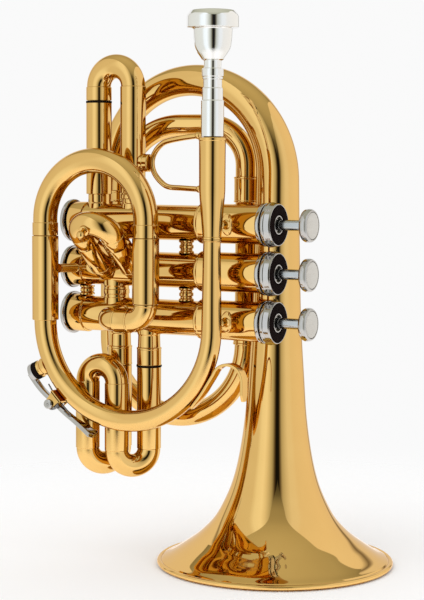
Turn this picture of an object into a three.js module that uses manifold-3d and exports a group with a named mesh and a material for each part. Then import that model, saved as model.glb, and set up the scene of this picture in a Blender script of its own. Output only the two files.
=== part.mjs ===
// Pocket trumpet: bell, wrap, leadpipe, three piston valves, four slides, water key and mouthpiece.
// Millimetres. +Z is up: the instrument stands on its bell rim, mouthpiece up.
// X runs along the valves, from the bottom caps towards the finger buttons.
// Y = 0 is the plane of the three valve axes, and the leadpipe lies on the -Y side.
import * as THREE from 'three';
import { mergeVertices } from 'three/addons/utils/BufferGeometryUtils.js';
import Module from 'manifold-3d';

const wasm = await Module();
wasm.setup();

// Fits
const GAP = 0.3;
const CUT_OVERRUN = 2;

// Roundness of the solids, as counts
const TUBE_SIDES = 12;
const BELL_SIDES = 24;
const VALVE_SIDES = 16;
const CUP_SIDES = 20;
const ROD_SIDES = 8;
const BALL_BANDS = 6;
const WIRE_SIDES = 5;
const CURL_STEPS = 8;
const TIGHT_BEND_STEPS = 4;
const BEND_STEPS = 5;
const WIDE_BEND_STEPS = 8;
const LONG_BEND_STEPS = 12;

// Tubing
const SLEEVE_R = 7;
const SLEEVE_WALL = 0.45;
const SLEEVE_FLOOR = 1;
const INNER_R = SLEEVE_R - SLEEVE_WALL - GAP;
const INNER_BORE = 5.8;
const CROOK_R = 6.7;
const COLLAR_LENGTH = 6;
const PORT_R = 5.9;
const PORT_BORE = 5.4;

// Valve block
const VALVE_PITCH = 25.6;
const VALVE_3_HEIGHT = 134.7;
const PISTON_R = 8.2;
const CASING_BORE = PISTON_R + GAP;
const CASING_R = 9.5;
const FOOT_R = 10.1;
const FOOT_LENGTH = 12.4;
const HEAD_R = 10.5;
const HEAD_START = 86.5;
const HEAD_END = 121;
const HEAD_BEAD = 0.5;
const HEAD_BEAD_LENGTH = 1.6;

// Caps
const CAP_R = 11.8;
const CAP_WALL = 1.3;
const CAP_FLOOR = 1.6;
const CAP_SKIRT = 5.2;
const CAP_CHAMFER = 0.9;
const VENT_R = 1.3;
const TOP_CAP_LENGTH = 8.8;
const TOP_CAP_PLATE = 3.9;
const TOP_RING_LENGTH = 1.5;
const TOP_RING_R = 11.1;
const TOP_GROOVE = 0.5;
const TOP_LIP_R = 10.7;
const TOP_CHAMFER = 3.6;
const FELT_INNER_R = 5.5;
const FELT_OUTER_R = 9.8;
const FELT_DEPTH = 1.8;
const FELT_PROUD = 0.3;

// Pistons
const STROKE = 12.8;
const PISTON_FOOT = 18.2;
const PISTON_BODY = 58;
const PISTON_CUP_R = 6.6;
const PISTON_CUP_DEPTH = 3;
const BARREL_WALL = 1.2;
const BARREL_PLATE = 2.2;
const PASSAGE_R = 3.4;
const STEM_R = 2.75;
const STEM_SHOWN = 13.4;
const BUTTON_R = 8.75;
const BUTTON_LENGTH = 6.2;
const BUTTON_BOSS = 3.6;
const BUTTON_BOSS_LENGTH = 1;
const BUTTON_EDGE = 1.2;
const PEARL_R = 7;
const PEARL_LENGTH = 1.6;
const PEARL_CROWN = 0.5;
const GUIDE_LENGTH = 3;
const GUIDE_AT = 95;
const GUIDE_HOLE = 2.6;
const WING_WIDTH = 3;
const SPRING_WIRE = 0.4;
const SPRING_R = 5;
const SPRING_CURLS = 6;

// Bell
const BELL_X = 114.8;
const BELL_Y = 28;
const BELL_RIM_R = 64.5;
const BELL_WALL = 0.9;
const RIM_BEAD = 1.5;
const THROAT_R = 11.6;
const TAIL_RISE = 77.4;
const TAIL_TOP = VALVE_3_HEIGHT + TAIL_RISE + 2 * VALVE_PITCH;
const TAIL_MID_R = 8.5;
const TAIL_END_R = 6.5;
const FLARE_HEIGHT = 171;

// Wrap behind the valves
const WRAP_LEFT_X = 9;
const WRAP_LEFT_Y = 28;
const WRAP_RIGHT_X = 93.3;
const WRAP_RIGHT_Y = 33;
const WRAP_R = 6.1;
const WRAP_BORE = 5.3;
const WRAP_BOTTOM = 76.4;
const UPPER_CROOK_RISE = 52.7;
const UPPER_CROOK_LEFT_BEND = 34;
const UPPER_CROOK_RIGHT_BEND = 22;
const FERRULE_R = 6.8;
const FERRULE_LENGTH = 14;
const OUTLET_X = 21.5;
const OUTLET_Y = 20.5;
const OUTLET_BEND = 10.5;

// Leadpipe side
const LEAD_X = 104.8;
const LEAD_Y = -26.5;
const LEAD_START_R = 4.5;
const LEAD_MID_R = 5.3;
const LEAD_END_R = 6.1;
const LEAD_WALL = 0.8;
const LEAD_LINE_DROP = 2.3;
const LEAD_JOINT_RISE = 43.9;
const LEAD_COLLAR = 2.8;
const RECEIVER_LENGTH = 52.4;
const RECEIVER_R = 6.8;
const RECEIVER_END_R = 4.7;
const RECEIVER_BEAD = 1.6;

// Main tuning slide
const MAIN_LEFT_X = 1.1;
const MAIN_RIGHT_X = 65;
const MAIN_SLEEVE_RISE = 43.5;
const MAIN_ARCH = 40.8;
const MAIN_LEG = 34;
const INLET_X = 38.5;
const INLET_BEND = 9;

// First valve slide
const FIRST_LEFT_X = 18.7;
const FIRST_RIGHT_X = 40.7;
const FIRST_SLEEVE_RISE = 15;
const FIRST_SLEEVE_LENGTH = 50.7;
const FIRST_ARCH = 18.6;
const FIRST_LEG = 44;
const SADDLE_R = 1.6;
const SADDLE_BALL_R = 2.6;
const SADDLE_RISE = 18.1;
const SADDLE_REACH = 34.6;
const SADDLE_HALF = 12.8;
const SADDLE_BASE_R = 4.6;
const SADDLE_BASE_LENGTH = 3.4;

// Second valve slide
const SECOND_LEFT_X = 29;
const SECOND_RIGHT_X = 48.2;
const SECOND_FRONT = 7.6;
const SECOND_ELBOW = 8;
const SECOND_TILT = THREE.MathUtils.degToRad(41.5);
const SECOND_R = 6.3;
const SECOND_BORE = 5;
const SECOND_SLEEVE = 19;
const SECOND_COLLAR = 6.7;
const SECOND_LEG = 14;
const KNOB_R = 2;
const KNOB_NECK_R = 1.5;
const KNOB_NECK = 2.6;
const KNOB_LEAN = THREE.MathUtils.degToRad(15);

// Third valve slide
const THIRD_RIGHT_X = 51.2;
const THIRD_LEFT_X = 32.4;
const THIRD_STEP_X = -12.2;
const THIRD_STEP_Y = -13.7;
const THIRD_R = 6.6;
const THIRD_PORT_R = 6.2;
const THIRD_COLLAR_R = 6.8;
const THIRD_WALL = 0.45;
const THIRD_COLLAR_DROP = 17.1;
const THIRD_COLLAR_LENGTH = 10.4;
const THIRD_HIGH_DROP = 36.1;
const THIRD_RUN = 36.6;
const THIRD_LEG = 38;

// Transfer knuckles and posts
const KNUCKLE_R = 6.5;
const KNUCKLE_12_X = 29.6;
const KNUCKLE_23_X = 30.2;
const POST_R = 2.3;
const POST_BEAD_R = 3.2;
const POST_FOOT_R = 4.2;
const POST_FOOT = 1.5;
const POST_HIGH_X = 74.5;
const POST_LOW_X = 11;

// Braces
const BRACE_R = 1.9;
const FLANGE_WIDTH = 8;
const FLANGE_HEIGHT = 12;
const FLANGE_DEPTH = 1.2;
const SLIDE_BRACE_X = 20.5;
const SLIDE_BRACE_R = 1.3;
const SLIDE_BRACE_ROOT_R = 2.9;
const SLIDE_BRACE_ROOT = 8;

// Finger hook: a strip on the outside of the leadpipe bow
const HOOK_WIDTH = 6;
const HOOK_THICK = 1.5;
const HOOK_FROM = THREE.MathUtils.degToRad(-52);
const HOOK_LIFT = THREE.MathUtils.degToRad(-24);
const HOOK_TOP_DROP = 14.8;
const HOOK_HANG = 21.6;
const HOOK_BEND = 8;
const HOOK_TURN_FROM = THREE.MathUtils.degToRad(157.5);

// Water key on the leadpipe bow
const KEY_NIPPLE_AT = THREE.MathUtils.degToRad(206.3);
const KEY_PIVOT_AT = THREE.MathUtils.degToRad(225);
const KEY_TIP_AT = THREE.MathUtils.degToRad(252);
const NIPPLE_R = 4.8;
const NIPPLE_LENGTH = 4.6;
const NIPPLE_HOLE = 2;
const CORK_R = 4.7;
const CORK_LENGTH = 3.2;
const CUP_R = 5;
const CUP_LENGTH = 2.6;
const PIVOT_STAND = 6.2;
const TIP_STAND = 7;
const LEVER_WIDTH = 3;
const LEVER_THICK = 1.8;
const TIP_WIDTH = 8;
const HUB_R = 2.5;
const HUB_LENGTH = 10.4;
const SCREW_R = 1.3;
const SCREW_HEAD_R = 2.3;
const SCREW_HEAD = 1.2;
const EAR_THICK = 1.3;
const EAR_R = 2.6;
const EAR_ROOT = 8;
const KEY_SPRING_R = 3.3;
const KEY_SPRING_WIRE = 0.35;
const KEY_SPRING_CURLS = 2;
const KEY_SPRING_PITCH = 1.25;
const KEY_SPRING_LONG_ARM = 8;
const KEY_SPRING_SHORT_ARM = 4;

// Mouthpiece
const CUP_RIM_R = 13.5;
const MOUTHPIECE_SHOWN = 64.6;
const RIM_BEVEL = 2.1;
const RIM_BEVEL_DROP = 3.1;
const RIM_HEIGHT = 9.2;
const CUP_BODY_R = 10.2;
const CUP_WAIST_R = 9.6;
const CUP_BODY = 8.9;
const CUP_TAPER = 6.7;
const CUP_FOOT_R = 5.7;
const NECK_R = 4.5;
const NECK_LENGTH = 4.8;
const RING_R = 5.6;
const RING_LENGTH = 4;
const SMALL_RING_R = 5.2;
const SMALL_RING_LENGTH = 1.5;
const RECESS_R = 4.8;
const RECESS_LENGTH = 4.5;
const CUFF_R = 5.35;
const CUFF_LENGTH = 6.3;
const SHANK_R = 5.95;
const SHANK_TIP_R = 4;
const SHANK_IN = 22;
const CUP_DEPTH = 11.5;
const CUP_BITE_R = 8.4;
const THROAT_BORE = 1.9;
const BACKBORE_R = 3.2;

// Shape tables: shares of the size that each follows
const flareShares = [
  [1, 0.014], [0.77, 0.035], [0.58, 0.074], [0.46, 0.103], [0.342, 0.16], [0.254, 0.232],
  [0.184, 0.329], [0.132, 0.432], [0.085, 0.586], [0.05, 0.741], [0.0234, 0.877], [0.0105, 0.966],
];

const cupShares = [[0.8, 0.5], [0.5, 0.8]];

const xAxis = new THREE.Vector3(1, 0, 0);
const yAxis = new THREE.Vector3(0, 1, 0);
const zAxis = new THREE.Vector3(0, 0, 1);
const down = new THREE.Vector3(0, 0, -1);
const toViewer = new THREE.Vector3(0, -1, 0);
const valveHeights = [2, 1, 0].map((step) => VALVE_3_HEIGHT + step * VALVE_PITCH);

// Heights of the tubes that run to and from the valves
const crookTop = valveHeights[0] + UPPER_CROOK_RISE;
const leadLine = VALVE_3_HEIGHT - LEAD_LINE_DROP;
const leadJoint = VALVE_3_HEIGHT + LEAD_JOINT_RISE;
const receiverTop = leadJoint + RECEIVER_LENGTH;
const mainSleeveTop = VALVE_3_HEIGHT + MAIN_SLEEVE_RISE;
const mainRightEnd = VALVE_3_HEIGHT + INLET_BEND;
const firstSleeveEnd = valveHeights[0] + FIRST_SLEEVE_RISE;
const firstSleeveTop = firstSleeveEnd + FIRST_SLEEVE_LENGTH;
const thirdHighLine = VALVE_3_HEIGHT - THIRD_HIGH_DROP;
const thirdLowLine = thirdHighLine - THIRD_RUN;

function point(x, y, z) {
  return new THREE.Vector3(x, y, z);
}

// Signed volume of an indexed geometry: negative when its faces point inwards
function volumeOf(geometry) {
  const position = geometry.attributes.position;
  const index = geometry.index.array;
  const a = new THREE.Vector3();
  const b = new THREE.Vector3();
  const c = new THREE.Vector3();
  let volume = 0;
  for (let i = 0; i < index.length; i += 3) {
    a.fromBufferAttribute(position, index[i]);
    b.fromBufferAttribute(position, index[i + 1]);
    c.fromBufferAttribute(position, index[i + 2]);
    volume += a.dot(b.cross(c)) / 6;
  }
  return volume;
}

// Position-only geometry with shared corners, no flat triangles and faces pointing out
function closed(geometry) {
  const bare = new THREE.BufferGeometry();
  bare.setAttribute('position', geometry.attributes.position);
  if (geometry.index) bare.setIndex(geometry.index);
  const merged = mergeVertices(bare, 1e-4);
  const kept = [];
  const source = merged.index.array;
  for (let i = 0; i < source.length; i += 3) {
    const [a, b, c] = [source[i], source[i + 1], source[i + 2]];
    if (a !== b && b !== c && c !== a) kept.push(a, b, c);
  }
  merged.setIndex(kept);
  if (volumeOf(merged) < 0) {
    for (let i = 0; i < kept.length; i += 3) [kept[i], kept[i + 1]] = [kept[i + 1], kept[i]];
    merged.setIndex(kept);
  }
  merged.computeVertexNormals();
  return merged;
}

function toSolid(geometry) {
  const bare = closed(geometry);
  return new wasm.Manifold(new wasm.Mesh({
    numProp: 3,
    vertProperties: new Float32Array(bare.attributes.position.array),
    triVerts: new Uint32Array(bare.index.array),
  }));
}

function toGeometry(solid) {
  const mesh = solid.getMesh();
  const geometry = new THREE.BufferGeometry();
  geometry.setAttribute('position', new THREE.BufferAttribute(mesh.vertProperties, 3));
  geometry.setIndex(new THREE.BufferAttribute(mesh.triVerts, 1));
  geometry.computeVertexNormals();
  return geometry;
}

function joined(...geometries) {
  return toGeometry(geometries.map(toSolid).reduce((sum, next) => sum.add(next)));
}

function cut(geometry, ...tools) {
  return toGeometry(tools.map(toSolid).reduce((rest, tool) => rest.subtract(tool), toSolid(geometry)));
}

// Closed skin over a row of rings: loop joins the last ring to the first, else both ends are capped
function skin(rings, loop) {
  const sides = rings[0].length;
  const position = rings.flat().flatMap((p) => [p.x, p.y, p.z]);
  const index = [];
  const bands = loop ? rings.length : rings.length - 1;
  for (let band = 0; band < bands; band += 1) {
    const near = band * sides;
    const far = ((band + 1) % rings.length) * sides;
    for (let side = 0; side < sides; side += 1) {
      const next = (side + 1) % sides;
      index.push(near + side, near + next, far + side, near + next, far + next, far + side);
    }
  }
  if (!loop) {
    const last = (rings.length - 1) * sides;
    for (let side = 1; side < sides - 1; side += 1) {
      index.push(0, side + 1, side);
      index.push(last, last + side, last + side + 1);
    }
  }
  const geometry = new THREE.BufferGeometry();
  geometry.setAttribute('position', new THREE.Float32BufferAttribute(position, 3));
  geometry.setIndex(index);
  return closed(geometry);
}

function ringAt(station, radius, sides) {
  const across = new THREE.Vector3().crossVectors(station.heading, station.side);
  return Array.from({ length: sides }, (_, i) => {
    const angle = (2 * Math.PI * i) / sides;
    return station.at.clone()
      .addScaledVector(station.side, radius * Math.cos(angle))
      .addScaledVector(across, radius * Math.sin(angle));
  });
}

// A tube drawn as a maker bends it: straight runs, bends and changes of radius
class Tube {
  constructor(at, heading, side, outer, bore = 0) {
    this.at = at.clone();
    this.heading = heading.clone().normalize();
    this.side = side.clone().normalize();
    this.outer = outer;
    this.bore = bore;
    this.stations = [];
    this.mark();
  }

  mark() {
    const { at, heading, side, outer, bore } = this;
    this.stations.push({ at: at.clone(), heading: heading.clone(), side: side.clone(), outer, bore });
  }

  step(outer, bore = this.bore) {
    this.outer = outer;
    this.bore = bore;
    this.mark();
    return this;
  }

  line(length, outer = this.outer, bore = this.bore) {
    this.at.addScaledVector(this.heading, length);
    return this.step(outer, bore);
  }

  // Widens to a sleeve that a slide leg runs in, with a floor where the narrow tube enters
  sleeve(length) {
    return this.step(SLEEVE_R)
      .line(SLEEVE_FLOOR)
      .step(SLEEVE_R, SLEEVE_R - SLEEVE_WALL)
      .line(length - SLEEVE_FLOOR);
  }

  bend(radius, angle, toward, steps, outer = this.outer, bore = this.bore) {
    const axis = new THREE.Vector3().crossVectors(this.heading, toward).normalize();
    const centre = this.at.clone().addScaledVector(toward.clone().normalize(), radius);
    const [outer0, bore0] = [this.outer, this.bore];
    for (let i = 1; i <= steps; i += 1) {
      this.at.sub(centre).applyAxisAngle(axis, angle / steps).add(centre);
      this.heading.applyAxisAngle(axis, angle / steps);
      this.side.applyAxisAngle(axis, angle / steps);
      this.outer = THREE.MathUtils.lerp(outer0, outer, i / steps);
      this.bore = THREE.MathUtils.lerp(bore0, bore, i / steps);
      this.mark();
    }
    return this;
  }

  rings(key, sides) {
    const rows = this.stations.filter((s, i) => {
      const before = this.stations[i - 1];
      return !before || before[key] !== s[key] || before.at.distanceTo(s.at) > 0;
    });
    return rows.map((s) => ringAt(s, s[key], sides));
  }

  geometry(sides = TUBE_SIDES) {
    const outside = this.rings('outer', sides);
    if (this.bore === 0) return skin(outside, false);
    return skin([...outside, ...this.rings('bore', sides).reverse()], true);
  }
}

// A rod that follows a smooth list of points
function rod(points, radius, sides = ROD_SIDES) {
  const heading = points[1].clone().sub(points[0]).normalize();
  const side = Math.abs(heading.y) < 0.9 ? yAxis.clone() : xAxis.clone();
  side.addScaledVector(heading, -side.dot(heading)).normalize();
  const rings = points.map((at, i) => {
    const before = points[Math.max(i - 1, 0)];
    const after = points[Math.min(i + 1, points.length - 1)];
    const turned = after.clone().sub(before).normalize();
    side.applyQuaternion(new THREE.Quaternion().setFromUnitVectors(heading, turned));
    heading.copy(turned);
    return ringAt({ at, heading, side }, radius, sides);
  });
  return skin(rings, false);
}

// A turned piece: outline of [along, radius] pairs about an axis through at
function turned(outline, at, axis, sides = VALVE_SIDES) {
  const lathe = new THREE.LatheGeometry(outline.map(([along, r]) => new THREE.Vector2(r, along)), sides);
  lathe.applyQuaternion(new THREE.Quaternion().setFromUnitVectors(yAxis, axis.clone().normalize()));
  lathe.translate(at.x, at.y, at.z);
  return closed(lathe);
}

function ringOutline(outline) {
  return [...outline, outline[0]];
}

function block(width, depth, height, at, quaternion = new THREE.Quaternion()) {
  const box = new THREE.BoxGeometry(width, depth, height);
  box.applyQuaternion(quaternion);
  box.translate(at.x, at.y, at.z);
  return closed(box);
}

function cylinder(radius, from, to, sides = VALVE_SIDES) {
  const axis = to.clone().sub(from);
  return turned([[0, 0], [0, radius], [axis.length(), radius], [axis.length(), 0]], from, axis, sides);
}

// Room of a whole valve casing, grown by the gap: what is cut with it stands clear of the casing
function casingRoom(valve) {
  return turned([
    [0, 0], [0, FOOT_R + GAP], [FOOT_LENGTH + GAP, FOOT_R + GAP], [FOOT_LENGTH + GAP, CASING_R + GAP],
    [HEAD_START - HEAD_BEAD_LENGTH - GAP, CASING_R + GAP],
    [HEAD_START - HEAD_BEAD_LENGTH - GAP, HEAD_R + HEAD_BEAD + GAP],
    [HEAD_START + GAP, HEAD_R + HEAD_BEAD + GAP], [HEAD_START + GAP, HEAD_R + GAP],
    [HEAD_END, HEAD_R + GAP], [HEAD_END, 0],
  ], point(0, 0, valveHeights[valve]), xAxis);
}

// Lacquered brass, nickel, silver, pearl, felt, cork, steel wire and white guide plastic
const brass = { color: 0xd8a748, roughness: 0.16, metalness: 1 };
const nickel = { color: 0xc9c6c0, roughness: 0.18, metalness: 1 };
const silver = { color: 0xe4e2de, roughness: 0.1, metalness: 1 };
const pearl = { color: 0xcfcdc6, roughness: 0.3, metalness: 0 };
const felt = { color: 0x15120f, roughness: 0.95, metalness: 0 };
const cork = { color: 0x1b1713, roughness: 0.9, metalness: 0 };
const steel = { color: 0x8f8f8d, roughness: 0.3, metalness: 1 };
const plastic = { color: 0xe8e6df, roughness: 0.5, metalness: 0 };

const trumpet = new THREE.Group();

function add(name, geometry, finish) {
  const mesh = new THREE.Mesh(geometry, new THREE.MeshStandardMaterial(finish));
  mesh.name = name;
  trumpet.add(mesh);
}

// Directions of a port round a valve axis are up, down, towards the viewer and away (+Y)
const up = zAxis;

// Each valve's two passages to the slide and the one straight through, with the piston up
const valvePorts = [
  {
    through: [[down, KNUCKLE_12_X], [yAxis, OUTLET_X]],
    slide: [[up, FIRST_RIGHT_X], [up, FIRST_LEFT_X]],
  },
  {
    through: [[down, KNUCKLE_23_X], [up, KNUCKLE_12_X]],
    slide: [[toViewer, SECOND_RIGHT_X], [toViewer, SECOND_LEFT_X]],
  },
  {
    through: [[toViewer, INLET_X], [up, KNUCKLE_23_X]],
    slide: [[down, THIRD_RIGHT_X], [down, THIRD_LEFT_X]],
  },
];

function portDrill(valve, [direction, x], radius, from, to) {
  const axis = point(x, 0, valveHeights[valve]);
  const start = axis.clone().addScaledVector(direction, from);
  return cylinder(radius, start, axis.addScaledVector(direction, to), ROD_SIDES);
}

function casing(valve) {
  const neck = CAP_R - CAP_WALL - GAP;
  const topNeck = TOP_LIP_R - CAP_WALL;
  const neckEnd = HEAD_END + TOP_CAP_LENGTH - TOP_CAP_PLATE - GAP;
  const shell = turned(ringOutline([
    [CAP_FLOOR + GAP, CASING_BORE], [CAP_FLOOR + GAP, neck], [CAP_SKIRT + GAP, neck],
    [CAP_SKIRT + GAP, FOOT_R], [FOOT_LENGTH, FOOT_R], [FOOT_LENGTH, CASING_R],
    [HEAD_START - HEAD_BEAD_LENGTH, CASING_R], [HEAD_START - HEAD_BEAD_LENGTH, HEAD_R + HEAD_BEAD],
    [HEAD_START, HEAD_R + HEAD_BEAD], [HEAD_START, HEAD_R], [HEAD_END, HEAD_R],
    [HEAD_END, topNeck], [neckEnd, topNeck], [neckEnd, CASING_BORE],
  ]), point(0, 0, valveHeights[valve]), xAxis);
  const { through, slide } = valvePorts[valve];
  const drills = [...through, ...slide].map((port) => (
    portDrill(valve, port, PORT_BORE, CASING_BORE - CUT_OVERRUN, CASING_R + CUT_OVERRUN)));
  return cut(shell, ...drills);
}

// Baluster post between two casings, centred at one X, from below one casing to above the next
function post(upper, x) {
  const low = valveHeights[upper] - VALVE_PITCH;
  const from = low + CASING_R - GAP;
  const span = VALVE_PITCH - 2 * CASING_R + 2 * GAP;
  return turned([
    [0, 0], [0, POST_FOOT_R], [POST_FOOT, POST_FOOT_R], [POST_FOOT, POST_R],
    [span / 2 - POST_FOOT, POST_R], [span / 2, POST_BEAD_R], [span / 2 + POST_FOOT, POST_R],
    [span - POST_FOOT, POST_R], [span - POST_FOOT, POST_FOOT_R], [span, POST_FOOT_R], [span, 0],
  ], point(x, 0, from), zAxis, ROD_SIDES);
}

function casingWithPosts() {
  return cut(
    joined(casing(1), post(0, POST_HIGH_X), post(1, POST_HIGH_X), post(1, POST_LOW_X)),
    casingRoom(0), casingRoom(2),
  );
}

function bottomCap(height) {
  const inner = CAP_R - CAP_WALL;
  return turned(ringOutline([
    [0, VENT_R], [0, CAP_R - CAP_CHAMFER], [CAP_CHAMFER, CAP_R], [CAP_SKIRT, CAP_R],
    [CAP_SKIRT, inner], [CAP_FLOOR, inner], [CAP_FLOOR, VENT_R],
  ]), point(0, 0, height), xAxis);
}

function topCap(height) {
  const start = HEAD_END + GAP;
  const end = HEAD_END + TOP_CAP_LENGTH + GAP;
  const inner = TOP_LIP_R - CAP_WALL + GAP;
  const seat = end - FELT_DEPTH;
  return turned(ringOutline([
    [start, inner], [start, TOP_RING_R], [start + TOP_RING_LENGTH, TOP_RING_R],
    [start + TOP_RING_LENGTH, TOP_RING_R - TOP_GROOVE],
    [start + TOP_RING_LENGTH + TOP_GROOVE, TOP_RING_R - TOP_GROOVE],
    [start + TOP_RING_LENGTH + TOP_GROOVE, CAP_R], [end - TOP_CHAMFER, CAP_R],
    [end, TOP_LIP_R], [end, FELT_OUTER_R + GAP], [seat, FELT_OUTER_R + GAP], [seat, FELT_INNER_R - GAP],
    [end, FELT_INNER_R - GAP], [end, STEM_R + GAP], [end - TOP_CAP_PLATE, STEM_R + GAP],
    [end - TOP_CAP_PLATE, inner],
  ]), point(0, 0, height), xAxis);
}

const topCapFace = HEAD_END + TOP_CAP_LENGTH + GAP;
const barrelTop = topCapFace - TOP_CAP_PLATE - GAP;
const barrelStart = PISTON_FOOT + PISTON_BODY;
const buttonBack = topCapFace + STEM_SHOWN;

function topFelt(height) {
  const seat = topCapFace - FELT_DEPTH + GAP;
  return turned(ringOutline([
    [seat, FELT_INNER_R], [topCapFace + FELT_PROUD, FELT_INNER_R],
    [topCapFace + FELT_PROUD, FELT_OUTER_R], [seat, FELT_OUTER_R],
  ]), point(0, 0, height), xAxis);
}

// A curved passage through the piston, between two ports of its wall
function passage(valve, [startSide, startX], [endSide, endX]) {
  const height = valveHeights[valve];
  const reach = PISTON_R + CUT_OVERRUN;
  const start = point(startX, 0, height).addScaledVector(startSide, reach);
  const end = point(endX, 0, height).addScaledVector(endSide, reach);
  const middle = point((startX + endX) / 2, 0, height);
  const bow = start.clone().add(end).multiplyScalar(1 / 2).sub(middle);
  const straight = bow.length() < GAP;
  const hold = middle.addScaledVector(bow, straight ? 0 : -1 / 4);
  const curve = new THREE.QuadraticBezierCurve3(start, hold, end);
  return rod(curve.getPoints(straight ? 1 : TIGHT_BEND_STEPS), PASSAGE_R, ROD_SIDES);
}

function piston(valve) {
  const height = valveHeights[valve];
  const barrelBore = PISTON_R - BARREL_WALL;
  const cupTop = PISTON_FOOT + PISTON_CUP_DEPTH;
  const blank = turned([
    [cupTop, 0], [cupTop, PISTON_CUP_R], [PISTON_FOOT, PISTON_CUP_R], [PISTON_FOOT, PISTON_R],
    [barrelTop, PISTON_R], [barrelTop, STEM_R], [buttonBack - GAP, STEM_R], [buttonBack - GAP, 0],
  ], point(0, 0, height), xAxis);
  const barrel = cylinder(
    barrelBore, point(barrelStart, 0, height), point(barrelTop - BARREL_PLATE, 0, height));
  const slotLength = STROKE + GUIDE_LENGTH + 2 * GAP;
  const slot = block(
    slotLength, 2 * (PISTON_R + CUT_OVERRUN), WING_WIDTH + 2 * GAP,
    point(GUIDE_AT - GAP + slotLength / 2, 0, height));
  const { through: [inlet, outlet], slide: [leaving, returning] } = valvePorts[valve];
  const pressed = ([side, x]) => [side, x + STROKE];
  return cut(
    blank, barrel, slot, passage(valve, inlet, outlet),
    passage(valve, pressed(inlet), pressed(leaving)), passage(valve, pressed(returning), pressed(outlet)));
}

function guide(height) {
  const disc = turned(ringOutline([
    [GUIDE_AT, GUIDE_HOLE], [GUIDE_AT, PISTON_R - BARREL_WALL - 2 * GAP],
    [GUIDE_AT + GUIDE_LENGTH, PISTON_R - BARREL_WALL - 2 * GAP], [GUIDE_AT + GUIDE_LENGTH, GUIDE_HOLE],
  ]), point(0, 0, height), xAxis, TUBE_SIDES);
  const bar = block(
    GUIDE_LENGTH, 2 * (PISTON_R - GAP), WING_WIDTH, point(GUIDE_AT + GUIDE_LENGTH / 2, 0, height));
  const hole = cylinder(
    GUIDE_HOLE, point(GUIDE_AT - CUT_OVERRUN, 0, height),
    point(GUIDE_AT + GUIDE_LENGTH + CUT_OVERRUN, 0, height), TUBE_SIDES);
  return cut(joined(disc, bar), hole);
}

// Points of a coil about an axis, from one end to the other
function coilPoints(at, axis, side, radius, curls, pitch) {
  const across = new THREE.Vector3().crossVectors(axis, side);
  return Array.from({ length: curls * CURL_STEPS + 1 }, (_, i) => {
    const angle = (2 * Math.PI * i) / CURL_STEPS;
    return at.clone()
      .addScaledVector(axis, (pitch * i) / CURL_STEPS)
      .addScaledVector(side, radius * Math.cos(angle))
      .addScaledVector(across, radius * Math.sin(angle));
  });
}

// Least space between one curl and the next, measured on the coil's own points
function leastCoilGap(points, wire) {
  let least = Infinity;
  points.forEach((p, i) => {
    for (let j = i + CURL_STEPS / 2; j < points.length; j += 1) {
      least = Math.min(least, p.distanceTo(points[j]) - 2 * wire);
    }
  });
  return least;
}

function pistonSpring(height) {
  const from = GUIDE_AT + GUIDE_LENGTH + GAP + SPRING_WIRE;
  const to = barrelTop - BARREL_PLATE - GAP - SPRING_WIRE;
  const pitch = (to - from) / SPRING_CURLS;
  const points = coilPoints(point(from, 0, height), xAxis, zAxis, SPRING_R, SPRING_CURLS, pitch);
  console.log(`piston spring: least gap ${leastCoilGap(points, SPRING_WIRE).toFixed(2)} mm`);
  return rod(points, SPRING_WIRE, WIRE_SIDES);
}

function button(height) {
  const back = buttonBack;
  const front = back + BUTTON_LENGTH;
  const seat = front - PEARL_LENGTH;
  return turned([
    [back, 0], [back, BUTTON_BOSS], [back + BUTTON_BOSS_LENGTH, BUTTON_BOSS],
    [back + BUTTON_BOSS_LENGTH, BUTTON_R - BUTTON_EDGE], [back + BUTTON_BOSS_LENGTH + BUTTON_EDGE, BUTTON_R],
    [front - BUTTON_EDGE, BUTTON_R], [front, BUTTON_R - BUTTON_EDGE], [front, PEARL_R + GAP],
    [seat, PEARL_R + GAP], [seat, 0],
  ], point(0, 0, height), xAxis);
}

function pearlDisc(height) {
  const seat = buttonBack + BUTTON_LENGTH - PEARL_LENGTH + GAP;
  const rim = buttonBack + BUTTON_LENGTH;
  return turned([
    [seat, 0], [seat, PEARL_R], [rim, PEARL_R], [rim + PEARL_CROWN / 2, PEARL_R / 2], [rim + PEARL_CROWN / 2, 0],
  ], point(0, 0, height), xAxis);
}

valveHeights.forEach((height, valve) => {
  const number = valve + 1;
  add(`valve_casing_${number}`, valve === 1 ? casingWithPosts() : casing(valve), brass);
  add(`bottom_cap_${number}`, bottomCap(height), nickel);
  add(`top_cap_${number}`, topCap(height), nickel);
  add(`top_felt_${number}`, topFelt(height), felt);
  add(`piston_${number}`, piston(valve), nickel);
  add(`valve_guide_${number}`, guide(height), plastic);
  add(`piston_spring_${number}`, pistonSpring(height), steel);
  add(`finger_button_${number}`, button(height), nickel);
  add(`button_pearl_${number}`, pearlDisc(height), pearl);
});

// Transfer knuckles: short tubes between neighbouring casings, shaped to both
function knuckle(upper, x) {
  const tube = new Tube(
    point(x, 0, valveHeights[upper + 1]), up, xAxis, KNUCKLE_R, PORT_BORE).line(VALVE_PITCH);
  return cut(tube.geometry(), casingRoom(upper), casingRoom(upper + 1));
}

add('knuckle_12', knuckle(0, KNUCKLE_12_X), brass);
add('knuckle_23', knuckle(1, KNUCKLE_23_X), brass);

// Bell: the tail is a wide bend that opens all the way to the flare
const tailBend = (BELL_X - WRAP_LEFT_X) / 2;
const tailLine = TAIL_TOP - tailBend;

const flare = flareShares.map(([heightShare, flareShare]) => ({
  height: FLARE_HEIGHT * heightShare,
  radius: THROAT_R + (BELL_RIM_R - RIM_BEAD - THROAT_R) * flareShare,
}));

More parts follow.
